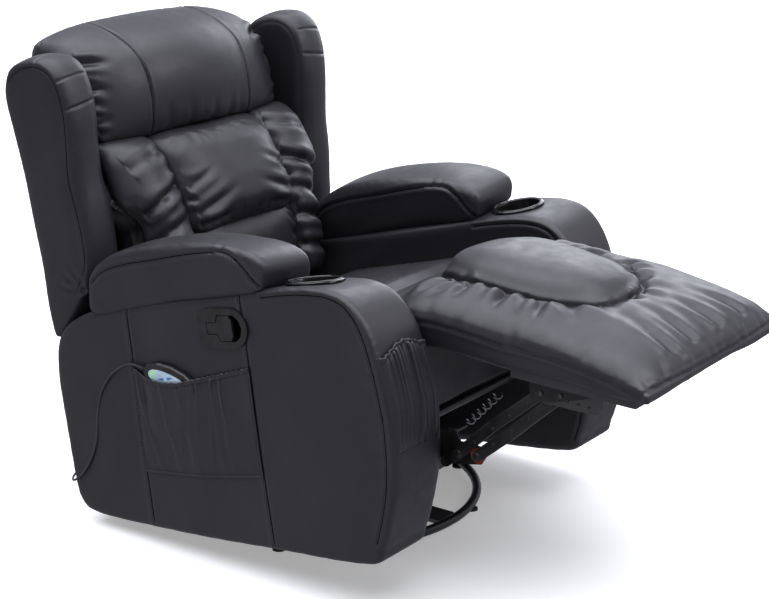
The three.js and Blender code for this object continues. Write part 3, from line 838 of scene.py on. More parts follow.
def lumbar_face(depth, side_roll, foot_roll, top_roll):
    """The face of a lumbar cushion; each roll is (depth, how far in it reaches)."""

    def face(z, u, v):
        y = crown_y(z) + depth + side_roll[0] * rolled(min(u, 1 - u), side_roll[1])
        return y + foot_roll[0] * rolled(v, foot_roll[1]) + top_roll[0] * rolled(1 - v, top_roll[1])

    return face


def bolster_face(side):
    def face(z, u, v):
        outside = 1 - u if side > 0 else u
        y = crown_y(z) + 14 + 26 * rolled(1 - outside, 0.32) + 78 * rolled(outside, 0.62)
        return y + 14 * rolled(v, 0.08) + 16 * rolled(1 - v, 0.08)

    return face


# On the right side, from the top down: the lumbar pillow's side edge, and the inner and
# outer borders of the bolster.
LUMBAR_EDGE = [(148, 205, 730), (148, 178, 670), (148, 165, 610), (146, 160, 572)]
BOLSTER_INNER = [(156, 232, 738), (156, 190, 650), (156, 165, 560), (156, 155, 430)]
BOLSTER_OUTER = [(284, 272, 735), (284, 235, 650), (250, 205, 560), (246, 190, 430)]


def build_back():
    half = LUMBAR_HALF - 3
    upper_face = lumbar_face(-3, (34, 0.42), (30, 0.22), (26, 0.16))
    lower_face = lumbar_face(14, (30, 0.4), (22, 0.15), (20, 0.25))
    limits = (lambda z: -half, lambda z: half)
    upper = back_panel("lumbar_pillow_upper", *limits, LUMBAR_SPLIT - 4, 742, upper_face)
    lower = back_panel("lumbar_pillow_lower", *limits, 414, LUMBAR_SPLIT + 6, lower_face)
    bolsters = []
    for name, side in SIDES:
        if side > 0:
            limits = (lambda z: LUMBAR_HALF + 1, bolster_outer_x)
        else:
            limits = (lambda z: -bolster_outer_x(z), lambda z: -LUMBAR_HALF - 1)
        bolster = back_panel("bolster_%s_soft" % name, *limits, 412, 744, bolster_face(side))
        bolsters.append((name, side, bolster))
    head = build_head()
    upper.puff(4, 9, 0.05)
    for soft in (lower, bolsters[0][2], bolsters[1][2]):
        soft.puff(3.5, 9, 0.05)
    return upper, lower, bolsters, head


# The head pillow's side view at three distances from the middle, [y, z], from the bottom
# rear round the front.
HEAD_MIDDLE = [
    (326, 766), (286, 748), (246, 748), (224, 764), (215, 800), (213, 840), (220, 878), (238, 908),
    (268, 934), (310, 955), (354, 968), (388, 972), (410, 966), (428, 948), (434, 920), (428, 892),
    (396, 876), (352, 850), (340, 800),
]
HEAD_SEAM = [
    (326, 766), (290, 746), (256, 744), (240, 760), (232, 796), (232, 836), (240, 874), (256, 904),
    (284, 928), (320, 949), (358, 964), (388, 968), (410, 962), (428, 945), (434, 918), (428, 892),
    (396, 876), (352, 850), (340, 800),
]
HEAD_END = [
    (326, 770), (304, 752), (282, 746), (268, 754), (268, 786), (275, 824), (286, 862), (300, 892),
    (316, 914), (334, 927), (358, 936), (382, 940), (404, 942), (421, 934), (428, 914), (423, 892),
    (392, 874), (350, 846), (340, 800),
]
HEAD_HALF = 268
SEAM_X = 142


def head_section(x):
    """The pillow's side view at one distance from the middle."""
    middle, seam, end = (np.array(line, float) for line in (HEAD_MIDDLE, HEAD_SEAM, HEAD_END))
    x = abs(x)
    if x <= SEAM_X:
        section = middle + (seam - middle) * (x / SEAM_X) ** 2
    else:
        t = (x - SEAM_X) / (HEAD_HALF - SEAM_X)
        section = seam + (end - seam) * (0.35 * t + 0.65 * t**2.2)
    return spline(section, 72, True)


def rear_piping():
    """The seam between the pillow's top and its rear boxing."""
    line = []
    for x in np.linspace(-HEAD_HALF + 8, HEAD_HALF - 8, 27):
        section = head_section(x)
        miss = np.abs(section[:, 0] - 397) + 2000 * (section[:, 1] < 920)
        line.append((x, *section[np.argmin(miss)]))
    return line


def build_head():
    stations = np.linspace(-HEAD_HALF, HEAD_HALF, 41)
    points = []
    for x in stations:
        ring = head_section(x)
        close = (HEAD_HALF - abs(x)) / 16
        if close < 1:
            centre = ring.mean(axis=0)
            tuck_in = 1 - math.sqrt(max(0, 1 - (1 - close) ** 2))
            ring = centre + (ring - centre) * (1 - 0.16 * tuck_in)
        points += [(x, y, z) for y, z in ring]
    return Soft("head_pillow_soft", points, capped_faces(len(stations), len(ring)), smooth=3)


def shape_back(upper, lower, bolsters, head):
    for soft in (upper, lower, head):
        soft.refine()
    for _, _, soft in bolsters:
        soft.refine()
    front = (0, -1, 0.2)

    # Lumbar: folds fan out of the two lower corners and the top corners.
    upper.undulate(150, 1.6, 3)
    for side in (1, -1):
        edge = [(side * x, y, z) for x, y, z in LUMBAR_EDGE]
        upper.gathers(edge[1:], (-side, 0, -0.25), 26, 58, 2.8, 6, 11 + side, 0.6, front)
        upper.crease((side * 140, 160, 588), (side * 20, 118, 640), 8, 5, (0.05, 0.8), 0.5, front)
        upper.crease((side * 143, 168, 640), (side * 60, 135, 690), 7, 4, (0.05, 0.8), 0.5, front)
        upper.crease((side * 138, 160, 574), (side * 40, 128, 582), 6, 5, (0.05, 0.7), 0.4, front)
    base = [(-140, 158, 566), (-60, 140, 560), (60, 140, 560), (140, 158, 566)]
    upper.gathers(base, (0, 0, 1), 34, 36, 2.2, 6, 23, 0.5, front)
    top = [(-140, 214, 738), (0, 200, 742), (140, 214, 738)]
    upper.gathers(top, (0, 0, -1), 44, 44, 1.8, 8, 29, 0.5, front)
    upper.write()

    lower.undulate(110, 1.4, 5)
    for side in (1, -1):
        edge = [(side * 148, 160, 545), (side * 148, 150, 470), (side * 148, 150, 420)]
        lower.gathers(edge, (-side, 0, 0.1), 15, 48, 3.6, 5, 31 + side, 0.5, front)
    lower.write()

    for name, side, soft in bolsters:
        soft.undulate(150, 1.0, 7 + side)
        for z_in, z_out, deep in ((724, 692, 4), (656, 612, 8), (592, 552, 5), (536, 506, 8), (470, 446, 6)):
            tuck = [
                (side * 156, crown_y(z_in) + 30, z_in),
                (side * 185, crown_y(z_in) + 12, z_in - 4),
                (side * 225, crown_y(z_out) + 16, (z_in + z_out) / 2),
                (side * 255, crown_y(z_out) + 44, z_out),
            ]
            soft.crease(tuck[0], tuck[2], 9, deep, (0.02, 0.35), 0.4, front)
            soft.crease(tuck[3], tuck[1], 9, deep, (0.02, 0.45), 0.4, front)
        inner = [(side * x, y, z) for x, y, z in BOLSTER_INNER]
        soft.gathers(inner, (side, 0, -0.3), 38, 40, 1.8, 7, 41 + side, 0.6, front)
        outer = [(side * x, y, z) for x, y, z in BOLSTER_OUTER]
        soft.gathers(outer, (-side, -0.5, 0.2), 17, 26, 1.5, 4.5, 51 + side, 0.4, front)
        soft.fold(spline(outer, 60), 13, 16, 0.0, front)
        soft.write()

    head.undulate(200, 1.2, 9)
    for side in (1, -1):
        end = [(side * 262, 266, 762), (side * 264, 268, 800), (side * 264, 276, 836), (side * 264, 290, 872)]
        head.gathers(end, (-side, -0.2, 0), 20, 40, 3.2, 6, 61 + side, 0.3, (0, -0.8, 0.4))
        head.crease((side * 262, 306, 902), (side * 196, 262, 898), 8, 7, (0.03, 0.7), 0.6, (0, -0.7, 0.5))
        head.crease((side * 262, 300, 850), (side * 214, 256, 846), 8, 4, (0.03, 0.7), 0.6, (0, -0.7, 0.5))
    for x in (-96, -40, 22, 74, 112):
        head.crease((x, 240, 752), (x * 1.05, 214, 812), 9, 2.0, (0.05, 0.8), 0.6, (0, -1, 0))
    seams = []
    for side in (1, -1):
        guide = [(side * SEAM_X, y, z) for y, z in HEAD_SEAM[2:12]]
        seams.append(spline(guide, 60))
        head.fold(seams[-1], 3.0, 2.4, 0.3, (0, -0.7, 0.5))
    piping = spline(rear_piping(), 80)
    head.fold(piping, 3.4, 3.2, 0.4, (0, 0, 1))
    head.write()
    # The dark tubes along the piping and the two seams are painted shade.
    seam_shade_tubes("head_pillow_piping_shade", [head], [piping], "backrest", 1.1)
    stitch_rows("head_pillow_stitches", [head], seams, "backrest")
    seam_shade_tubes("head_pillow_seam_shade", [head], seams, "backrest")

    finished(upper.obj, "backrest", "leather", "lumbar_pillow")
    finished(lower.obj, "backrest", "leather")
    finished(head.obj, "backrest", "leather", "head_pillow")
    for name, _, soft in bolsters:
        finished(soft.obj, "backrest", "leather", "bolster_" + name)
    for _, _, soft in bolsters:
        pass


# ---- Wings ----

# The wing's side view along the crown of its front band, [y, z].
WING_OUTLINE = [
    (318, 400), (332, 440), (341, 551), (353, 685), (366, 798), (371, 862), (357, 902), (330, 922),
    (294, 931), (256, 925), (230, 902), (217, 866), (212, 820), (214, 760), (214, 700), (208, 640),
    (206, 580), (214, 522), (262, 456),
]
WING_SEAM_INSET = 17


def wing_slab(side):
    """The outer face is flat; the band round the front and top is domed between the two faces."""
    ring = np.array(spline(WING_OUTLINE, 110, True))
    inward = inward_of(ring)
    dome = 15 * smooth_step((355 - ring[:, 0]) / 60) * smooth_step((ring[:, 1] - 470) / 90) + 4
    outer, inner = 390, 298
    rounded = [outer - turn for turn in (0, 2, 6, 14, 26)]
    stations = [*rounded, 344, *[inner + turn for turn in (26, 12, 4, 0)]]
    points = []
    for x in stations:
        t = abs(x - 344) / 46
        inset = 1 - math.sqrt(max(0.0, 1 - min(1, t) ** 2.6))
        corner = 5 * (1 if x in (outer, inner) else 0)
        section = ring + inward * (dome * inset + corner)[:, None]
        points += [(side * x, y, z) for y, z in section]
    faces = capped_faces(len(stations), len(ring))
    if side > 0:
        faces = [tuple(reversed(f)) for f in faces]
    return np.array(points), faces


def build_wings():
    made = []
    for name, side in SIDES:
        wing = Soft("wing_%s_soft" % name, *wing_slab(side), voxel=0.005, smooth=3)
        if side > 0:
            # The left wing's front edge leans back towards its foot.
            foot = smooth_step((800 - wing.co[:, 2]) / 300)
            wing.co[:, 1] += 30 * foot * smooth_step((330 - wing.co[:, 1]) / 120)
            wing.write()
        wing.puff(2.2, 4, 0.02)
        made.append((name, side, wing))
    return made


def shape_wings(wings):
    for name, side, wing in wings:
        wing.refine()
        wing.undulate(220, 1.3, 13 + side)
        crown = spline([(side * 344, y, z) for y, z in WING_OUTLINE[5:19]], 90)
        centre = np.array((295, 700))
        away = crown[:, 1:] - centre
        away /= np.linalg.norm(away, axis=1)[:, None]
        outer = crown.copy()
        outer[:, 0] = side * 389
        outer[:, 1:] -= away * WING_SEAM_INSET
        inner = outer.copy()
        inner[:, 0] = side * 299
        wing.fold(outer[4:], 2.4, 0.9, 0.0, (side, 0, 0))
        wing.fold(inner[4:], 2.4, 0.9, 0.0, (-side, 0, 0))
        # Three tucks across the band, close together near the top.
        for y, z in ((270, 928), (224, 892), (213, 840)):
            a, b = (side * 386, y + 10, z - 8), (side * 304, y - 2, z + 6)
            wing.crease(a, b, 2.6, 2.8, (0.04, 0.1), 0.05, (0, -0.7, 0.7))
        # Pull marks fan out of the lower front corner of the outer face.
        for y, z in ((262, 560), (285, 535), (300, 505)):
            wing.crease((side * 389, 226, 492), (side * 389, y, z), 5, 2.6, (0.05, 0.8), 0.5, (side, 0, 0))
        wing.write()
        stitch_rows("wing_%s_stitches" % name, [wing], [outer[6:84]], "backrest", offsets=(-3.6, 3.6))
        # The dark tube along the outer seam is painted shade.
        seam_shade_tubes("wing_%s_seams" % name, [wing], [outer[6:86]], "backrest", 0.7)
        finished(wing.obj, "backrest", "leather", "wing_" + name)


# ---- Rear cover of the back ----

COVER_SIDE = 268
COVER_CORNER = 16
COVER_FOOT = 292
COVER_TOP = 908


def cover_rear_y(z):
    return 313 + (z - COVER_FOOT) * 0.2042


def build_rear_cover():
    """A stretched skin over the rear and sides of the back frame."""
    plan = [(-COVER_SIDE, -96), (-COVER_SIDE, -60), (-COVER_SIDE, -COVER_CORNER)]
    for a in np.linspace(0, math.pi / 2, 7)[1:]:
        x = -COVER_SIDE + COVER_CORNER * (1 - math.cos(a))
        plan.append((x, -COVER_CORNER * (1 - math.sin(a))))
    half = plan + [(x, 0) for x in np.linspace(-COVER_SIDE + COVER_CORNER, 0, 22)[1:]]
    plan = half + [(-x, y) for x, y in reversed(half[:-1])]
    levels = np.linspace(COVER_FOOT, COVER_TOP, 52)
    rows = np.zeros((len(levels), len(plan), 3))
    for r, z in enumerate(levels):
        for c, (x, y) in enumerate(plan):
            wave = 1.3 * math.sin(x / 60 + z / 90) * math.sin(z / 70) if abs(x) < 240 else 0
            rows[r, c] = (x, cover_rear_y(min(z, 870)) + y - wave, z)
    cover = cloth_patch("rear_cover_skin", rows)
    finished(cover, "backrest", "leather", "rear_cover")
    heights = np.linspace(376, 868, 30)
    sides = (-COVER_SIDE + 3, COVER_SIDE - 3)
    seams = [[(x, cover_rear_y(z) - 3, z) for z in heights] for x in sides]
    stitch_lines("rear_cover_stitches", seams, "backrest", (0, 1, 0))


def stitch_lines(name, lines, body, out):
    """Stitches laid straight on their lines, for a skin that faces out or its opposite."""
    points, faces = [], []
    for line in lines:
        line = np.asarray(line, float)
        path = spline(line, int(run_length(line) / STITCH_PITCH))
        for a, b in zip(path, path[1:]):
            along = (b - a) / np.linalg.norm(b - a)
            beside = np.cross(along, out)
            beside /= np.linalg.norm(beside)
            axes = (along, beside, np.cross(beside, along))
            add_stitch(points, faces, (a + b) / 2, axes, STITCH_PITCH, 0.7, False)
    finished(mesh_object(name, points, faces, THREAD), body, "leather")


# ---- Seat and footrest ----

SEAT_OUTLINE = [
    (-226, 306), (-60, 297), (100, 299), (116, 318), (118, 372), (100, 388), (56, 402), (-23, 414),
    (-139, 430), (-222, 440), (-240, 420), (-240, 340),
]


def build_seat():
    seat = Soft("seat_cushion_soft", *slab(spline(SEAT_OUTLINE, 64, True), -250, 250, 16))
    seat.puff(3, 8, 0.03)
    return seat


def shape_seat(seat):
    seat.refine()
    seat.undulate(160, 1.6, 17)
    for side in (1, -1):
        edge = [(side * 246, 100, 392), (side * 246, -20, 412), (side * 246, -200, 436)]
        seat.gathers(edge, (-side, 0, 0), 26, 44, 2.4, 6, 91 + side, 0.5, (0, 0, 1))
    seat.write()
    finished(seat.obj, "chassis", "leather", "seat_cushion")


CHAISE_SEAM = [
    (-859, 342), (-846, 348), (-775, 375), (-702, 395), (-645, 407), (-588, 415), (-529, 428),
    (-468, 441), (-412, 446), (-360, 444), (-250, 428),
]
CHAISE_BAND = [(-859, 330), (-845, 334), (-647, 364), (-463, 394), (-411, 399), (-250, 404)]
CHAISE_HALF = 245
PILLOW_CENTRE_Y = -522
PILLOW_REACH = 176
PILLOW_HALF = 128


def chaise_seam_z(y):
    points = np.array(CHAISE_SEAM, float)
    return np.interp(y, points[:, 0], points[:, 1])


def chaise_band_z(y):
    points = np.array(CHAISE_BAND, float)
    return np.interp(y, points[:, 0], points[:, 1])


def pillow_radius(x, y):
    """1 on the seam round the centre pillow, less inside it."""
    across = np.abs(x) / PILLOW_HALF
    along = np.abs(y - PILLOW_CENTRE_Y) / PILLOW_REACH
    return (across**2.8 + along**2.8) ** (1 / 2.8)


def chaise_top(x, y):
    """Height of the chaise pad's top: a padded U round a raised pillow."""
    side = np.clip(np.abs(x) / CHAISE_HALF, 0, 1)
    front = np.clip((y + 859) / 70, 0, 1)
    rim = np.sqrt(1 - side**6) * np.sqrt(1 - (1 - front) ** 2.4)
    border = 50 * smooth_step((-y - 330) / 70) + 12 * (1 - smooth_step((-y - 330) / 70))
    border = border - 10 * smooth_step((-y - 700) / 140)
    r = pillow_radius(x, y)
    valley = 15 * np.exp(-(((r - 1) / 0.11) ** 2))
    pillow = 34 * np.clip(1 - r**2.4, 0, 1) ** 0.65 * smooth_step((-y - 330) / 60)
    return chaise_seam_z(y) + (border - valley + pillow) * rim


def on_chaise(x, y):
    """A point on the chaise pad's top."""
    return x, y, float(chaise_top(np.array(x), np.array(y)))


def build_chaise():
    columns, rows = 81, 101
    xs = CHAISE_HALF * np.sin(np.linspace(-1, 1, columns) * math.pi / 2 * 0.98) / math.sin(math.pi / 2 * 0.98)
    ys = np.linspace(-859, -250, rows)
    grid_y, grid_x = np.meshgrid(ys, xs, indexing="ij")
    top = np.stack([grid_x, grid_y, chaise_top(grid_x, grid_y)], 2)
    bottom = np.stack([grid_x, grid_y, chaise_band_z(grid_y) + 0 * grid_x], 2)
    points, faces = panel_solid(top, bottom)
    chaise = Soft("chaise_pad", points, [tuple(reversed(f)) for f in faces], smooth=4)
    chaise.puff(3, 7, 0.05)
    return chaise


def shape_chaise(chaise):
    chaise.refine()
    up = (0, 0, 1)
    ring = []
    for angle in round_turn(72) + [2 * math.pi]:
        c, s = math.cos(angle), math.sin(angle)
        scale = (abs(c) ** 2.8 + abs(s) ** 2.8) ** (-1 / 2.8)
        x, y = PILLOW_HALF * c * scale, PILLOW_CENTRE_Y + PILLOW_REACH * s * scale
        ring.append(on_chaise(x, y))
    centre = np.array((0, PILLOW_CENTRE_Y, 0))
    chaise.undulate(140, 1.8, 19)
    chaise.fold(ring, 8, 7, 0.3, up)
    chaise.gathers(ring, lambda p: (p - centre) * (1, 1, 0), 52, 84, 4.6, 10, 101, 0.7, (0, 0, 1))
    chaise.gathers(ring, lambda p: (centre - p) * (1, 1, 0), 60, 36, 2.0, 8, 103, 0.6, (0, 0, 1))
    for side in (1, -1):
        seam = [(side * 243, y, chaise_seam_z(y)) for y in np.linspace(-400, -850, 24)]
        chaise.fold(seam, 3.2, 2.6, 0.4)
        chaise.gathers(seam, (-side, 0, 1), 66, 56, 1.5, 9, 111 + side, 0.5)
        # Deep folds across the border beside the pillow.
        for y0, y1 in ((-388, -428), (-430, -452), (-478, -474), (-560, -540), (-640, -615)):
            start, end = on_chaise(side * 225, y0), on_chaise(side * 140, y1)
            chaise.crease(end, start, 9, 8, (0.04, 0.8), 0.4, (0, 0, 0.6))
    front_seam = [(x, -857, 347 + 0.02 * abs(x)) for x in np.linspace(-240, 240, 40)]
    chaise.fold(front_seam, 3.2, 2.6, 0.4)
    chaise.gathers(front_seam, (0, 0.5, 1), 44, 80, 2.2, 9, 121, 0.5)
    for x in (-120, -40, 60, 150):
        a, b = on_chaise(x, -846), on_chaise(x * 0.75, -720)
        chaise.crease(a, b, 11, 4.5, (0.1, 0.8), 0.7, (0, -0.2, 0.6))
    chaise.write()
    lengths = np.linspace(-400, -852, 24)
    seams = [[(side * 246, y, chaise_seam_z(y)) for y in lengths] for side in (1, -1)]
    seams.append([(x, -862, 347) for x in np.linspace(-238, 238, 24)])
    stitches = stitch_rows_free("chaise_stitches", [chaise], seams, (3.5,))
    start, end = tuple(to_row((0, -400, 440))), tuple(to_row((0, -560, 420)))
    for obj in (chaise.obj, stitches):
        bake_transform(obj)
        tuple(start)
        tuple(end)
    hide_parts("chaise_bridge", "ottoman_pad")


def stitch_rows_free(name, softs, lines, offsets):
    """Stitches that don't ride on any body."""
    stitched = stitch_rows(name, softs, lines, "chassis", offsets=offsets)
    where = stitched.matrix_world.copy()
    stitched.parent = None
    stitched.matrix_world = where
    del stitched["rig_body"]
    return stitched


# ---- Arms ----

ARM_OUTLINE = [
    (-384, 46), (-170, 43), (0, 44), (165, 48), (276, 57), (310, 80), (320, 130), (324, 240),
    (324, 330), (312, 392), (289, 424), (252, 446), (200, 463), (104, 478), (-143, 514), (-260, 530),
    (-335, 533), (-380, 524), (-408, 504), (-431, 467), (-447, 410), (-460, 330), (-462, 270),
    (-455, 195), (-434, 120), (-412, 70),
]

PAD_OUTLINE = [
    (200, 456), (104, 467), (0, 483), (-143, 506), (-190, 514), (-211, 527), (-220, 556), (-210, 577),
    (-172, 592), (-100, 600), (-27, 600), (55, 592), (119, 578), (166, 558), (196, 530), (205, 496),
]


def lower_inside(soft, from_z):
    """Drops the tops of an arm and its pad towards the sitter."""
    inset = ARM_OUTER - np.abs(soft.co[:, 0])
    blend = smooth_step((soft.co[:, 2] - from_z) / 60)
    soft.co[:, 2] -= inset * ARM_TOP_SLOPE * blend
    soft.write()


def build_arms():
    made = []
    for name, side in SIDES:
        limits = sorted((side * 255.5, side * 400))
        arm = Soft("arm_%s_soft" % name, *slab(spline(ARM_OUTLINE, 150, True), *limits, 12), smooth=3)
        lower_inside(arm, 430)
        limits = sorted((side * 264, side * 401))
        pad = Soft("arm_pad_%s_soft" % name, *slab(spline(PAD_OUTLINE, 90, True), *limits, 12), smooth=3)
        lower_inside(pad, -100)
        pad.puff(3.2, 7, 0.03)
        made.append((name, side, arm, pad))
    return made


def cup_matrix(side):
    """Where a cup holder stands, from its own upright frame to the row frame."""
    x, y, z = CUP_CENTRE
    lean = Matrix.Rotation(-CUP_LEAN, 4, "X") @ Matrix.Rotation(-side * ARM_TOP_SLOPE, 4, "Y")
    level = Matrix.Translation((side * x / 1000, y / 1000, (z - ROCK_PIVOT_Z) / 1000)) @ lean
    rock = Matrix.Rotation(-LEAN, 4, "X")
    shift = Matrix.Translation((0, FRAME_SHIFT_Y / 1000, ROCK_PIVOT_Z / 1000))
    return shift @ rock @ level


def carve(obj, cutter):
    """Cuts one shape out of another for good."""
    cut = obj.modifiers.new("cut", "BOOLEAN")
    cut.operation = "DIFFERENCE"
    cut.solver = "EXACT"
    cut.object = cutter
    apply_modifiers(obj)
    bpy.data.objects.remove(cutter)


def shape_arms(arms):
    for name, side, arm, pad in arms:
        arm.refine()
        pad.refine()
        shape_arm(name, side, arm)
        shape_pad(name, side, pad)
        bore = [(0.0005, -0.066), (0.0495, -0.066), (0.0495, 0.03), (0.0005, 0.03)]
        hole = lathe("hole", bore, 64, LEATHER)
        hole.matrix_world = cup_matrix(side)
        carve(arm.obj, hole)
        if side < 0:
            y, z = HANDLE_CENTRE
            recess = handle_box(-ARM_OUTER - 8, -ARM_OUTER + 24, y - 45, y + 38, z - 25, z + 25)
            carve(arm.obj, recess)
        finished(arm.obj, "chassis", "leather", "arm_" + name)
        finished(pad.obj, "chassis", "leather", "arm_pad_" + name)
        build_cup_holder(name, side)


def handle_box(x0, x1, y0, y1, z0, z1):
    points = [(x, y, z) for x in (x0, x1) for y in (y0, y1) for z in (z0, z1)]
    faces = [(0, 1, 3, 2), (4, 6, 7, 5), (0, 4, 5, 1), (2, 3, 7, 6), (0, 2, 6, 4), (1, 5, 7, 3)]
    return mesh_object("recess", points, faces, PLASTIC)


def arm_edge(inset):
    """The seam round the arm's top and front, a little inside its outline."""
    ring = spline(ARM_OUTLINE, 300, True)
    line = ring + inward_of(ring) * inset
    return line[(ring[:, 0] < -208) & (ring[:, 1] > 78)]


def shape_arm(name, side, arm):
    arm.undulate(260, 1.4, 131 + side)
    ends = (((116, 474), (116, 60)), ((-161, 512), (-176, 52)))
    seams = [spline([(side * 401, *top), (side * 401, *bottom)], 40) for top, bottom in ends]
    for seam in seams:
        arm.fold(seam, 3.2, 2.4, 0.35, (side, 0, 0))
    edge = spline([(side * 396, y, z) for y, z in arm_edge(13)], 90)
    edge[:, 0] = side * 400
    arm.fold(edge, 3.0, 1.8, 0.1)
    inner_edge = edge.copy()
    inner_edge[:, 0] = side * 256
    inner_edge[:, 2] -= 14
    arm.fold(inner_edge, 3.2, 2.4, 0.35)
    # The side panel pulls in a little between its seams, and the front bulges.
    for centre, size, height in (
        ((side * 400, -20, 430), (60, 120, 60), 2.5),
        ((side * 400, 210, 260), (60, 70, 160), 3),
        ((side * 400, -310, 260), (60, 90, 200), 4),
        ((side * 327, -470, 300), (90, 60, 170), 4),
        ((side * 400, -20, 110), (60, 120, 60), 2),
    ):
        arm.lump(np.array(centre), np.array(size), height)
    arm.gathers(edge[40:80], (0, 1, 0.15), 60, 60, 1.4, 9, 141 + side, 0.5, (side, 0, 0))
    arm.write()
    stitch_rows("arm_%s_stitches" % name, [arm], seams + [edge], "chassis")
    # The dark tubes along the arm's seams are painted shade.
    seam_shade_tubes("arm_%s_seams" % name, [arm], seams + [edge, inner_edge], "chassis")


PAD_SEAM = [
    (188, 520), (156, 541), (95, 557), (34, 566), (-40, 578), (-100, 585), (-143, 586), (-174, 570),
    (-197, 544), (-212, 528),
]


def shape_pad(name, side, pad):
    pad.undulate(150, 1.4, 151 + side)
    outer = spline([(side * 400, y, z) for y, z in PAD_SEAM], 60)
    inner = outer.copy()
    inner[:, 0] = side * 266
    inner[:, 2] -= 13
    for seam in (outer, inner):
        pad.fold(seam, 3.4, 2.8, 0.4)
    pad.gathers(outer[42:], (-side, 0.6, 0.3), 20, 20, 1.5, 5, 161 + side, 0.4)
    pad.gathers(inner[42:], (side, 0.6, 0.3), 20, 20, 1.5, 5, 171 + side, 0.4)
    pad.lump(np.array((side * 330, -60, 602)), np.array((55, 120, 40)), 3)
    pad.write()
    stitch_rows("arm_pad_%s_stitches" % name, [pad], [outer, inner], "chassis")
    # The dark tubes along the pad's seams are painted shade.
    seam_shade_tubes("arm_pad_%s_seams" % name, [pad], [outer, inner], "chassis", 1.0)


def build_cup_holder(name, side):
    """A glossy insert with a bright lip."""
    well = [(0.0005, -0.0595), (0.036, -0.0595), (0.0400, -0.0575), (0.0418, -0.052), (0.0425, -0.002)]
    lip = [(0.0440, 0.0028), (0.0465, 0.0040), (0.0500, 0.0036), (0.0522, 0.0022), (0.0528, 0.0002)]
    shell = [(0.0500, 0.0000), (0.0452, -0.001), (0.0450, -0.054), (0.0390, -0.0618), (0.0005, -0.062)]
    profile = list(reversed(well + lip + shell))
    cup = lathe("cup_holder_%s_insert" % name, profile, 96, GLOSS)
    cup.matrix_world = cup_matrix(side)
    finished(cup, "chassis", "gloss_plastic", "cup_holder_" + name)
    lip_profile = [(0.0468, 0.0040), (0.0476, 0.0041), (0.0486, 0.0040), (0.0482, 0.0047), (0.0472, 0.0048)]
    faces = grid_faces(5, 96, wrap=True)
    faces += [(4 * 96 + i, 4 * 96 + (i + 1) % 96, (i + 1) % 96, i) for i in range(96)]
    lip = mesh_object("cup_lip_%s" % name, rings(lip_profile, 96), faces, CHROME, level=False)
    lip.matrix_world = cup_matrix(side)
    finished(lip, "chassis", "gloss_plastic")


# ---- Pockets ----


def cloth_patch(name, rows, thick=1.6):
    """A leather cloth from rows of points, given a thickness."""
    rows = np.asarray(rows, float)
    obj = mesh_object(name, rows.reshape(-1, 3), grid_faces(rows.shape[0], rows.shape[1]), LEATHER)
    shell = obj.modifiers.new("thickness", "SOLIDIFY")
    shell.thickness = thick / 1000
    shell.offset = 0
    shade_smooth(apply_modifiers(obj))
    return obj


def grid_area(rows):
    """Area in square metres of a grid of level points."""
    a = rows[1:, 1:] - rows[:-1, :-1]
    b = rows[1:, :-1] - rows[:-1, 1:]
    return float(np.linalg.norm(np.cross(a, b), axis=2).sum() / 2 / 1e6)


def hem_tube(name, line, radius, body):
    """An elastic hem: a flattened gathered roll along a line."""
    path = spline(line, int(run_length(line) / 1.6))
    points = []
    sides = 10
    for i, (centre, tangent) in enumerate(zip(path, tangents(path))):
        across = np.cross(tangent, (0, 0, 1))
        across /= np.linalg.norm(across)
        up = np.cross(across, tangent)
        ruffle = 0.096 * math.sin(i * 1.6 / 7 * 2 * math.pi) + 0.1 * math.sin(i * 0.83)
        swell = radius * (1 + ruffle)
        for angle in round_turn(sides):
            spoke = across * 0.55 * math.cos(angle) + up * 1.5 * math.sin(angle)
            points.append(centre + swell * spoke)
    faces = capped_faces(len(path), sides)
    return finished(mesh_object(name, points, faces, LEATHER), body, "leather")


SIDE_MOUTH = [(114, 361), (85, 347), (45, 341), (10, 341), (-29, 347), (-92, 361), (-168, 379)]


def build_side_pocket():
    """Gathered at the mouth by elastic, flat at the bottom seam, baggy between."""
    columns, rows_count = 190, 60
    mouth = spline([(y, z) for y, z in SIDE_MOUTH], columns)
    bottom = spline([(114, 161), (-25, 167), (-172, 182)], columns)
    draw = random.Random(201)
    spreads = ((0.02, 0.98), (0.010, 0.028), (0.35, 1.0), (-0.16, 0.16))
    pleats = [[draw.uniform(*spread) for spread in spreads] for _ in range(15)]
    rows = np.zeros((rows_count, columns, 3))
    for r in range(rows_count):
        v = r / (rows_count - 1)
        for c in range(columns):
            u = c / (columns - 1)
            y, z = bottom[c] * (1 - v) + mouth[c] * v
            bag = math.sin(math.pi * min(1, v * 1.05)) ** 0.6 * math.sin(math.pi * u) ** 0.35
            edge = min(1, u / 0.05, (1 - u) / 0.05)
            wave = 0.0
            for at, wide, deep, drift in pleats:
                shift = u - at - drift * (1 - v)
                wave += deep * math.exp(-((shift / (wide * (1.6 - v))) ** 2))
            wave *= (0.14 + 0.86 * v**1.25) * edge
            x = -402.2 - 8.5 * bag * min(1, v / 0.12) - 4.8 * wave - 4.0 * v**3 * edge
            over_handset = math.exp(-(((y - 22) / 66) ** 4)) * float(smooth_step((v - 0.15) / 0.45))
            rows[r, c] = (min(x, -402 - 16.5 * over_handset - 2.6 * wave), y, z)
    rows[:, :, 0] = np.maximum(rows[:, :, 0], -423)
    pocket = cloth_patch("side_pocket_cloth", rows)
    finished(pocket, "chassis", "leather", "side_pocket")
    sewn = [rows[2, 1:-1] + (-1.2, 0, 0), rows[1:-4, 2] + (-1.2, 0, 0), rows[1:-4, -3] + (-1.2, 0, 0)]
    stitch_lines("side_pocket_stitches", sewn, "chassis", (1, 0, 0))
    hem = rows[-1] + (-0.4, 0, 0)
    hem_tube("side_pocket_hem", np.vstack([hem[::6], hem[-1:]]), 3.2, "chassis")


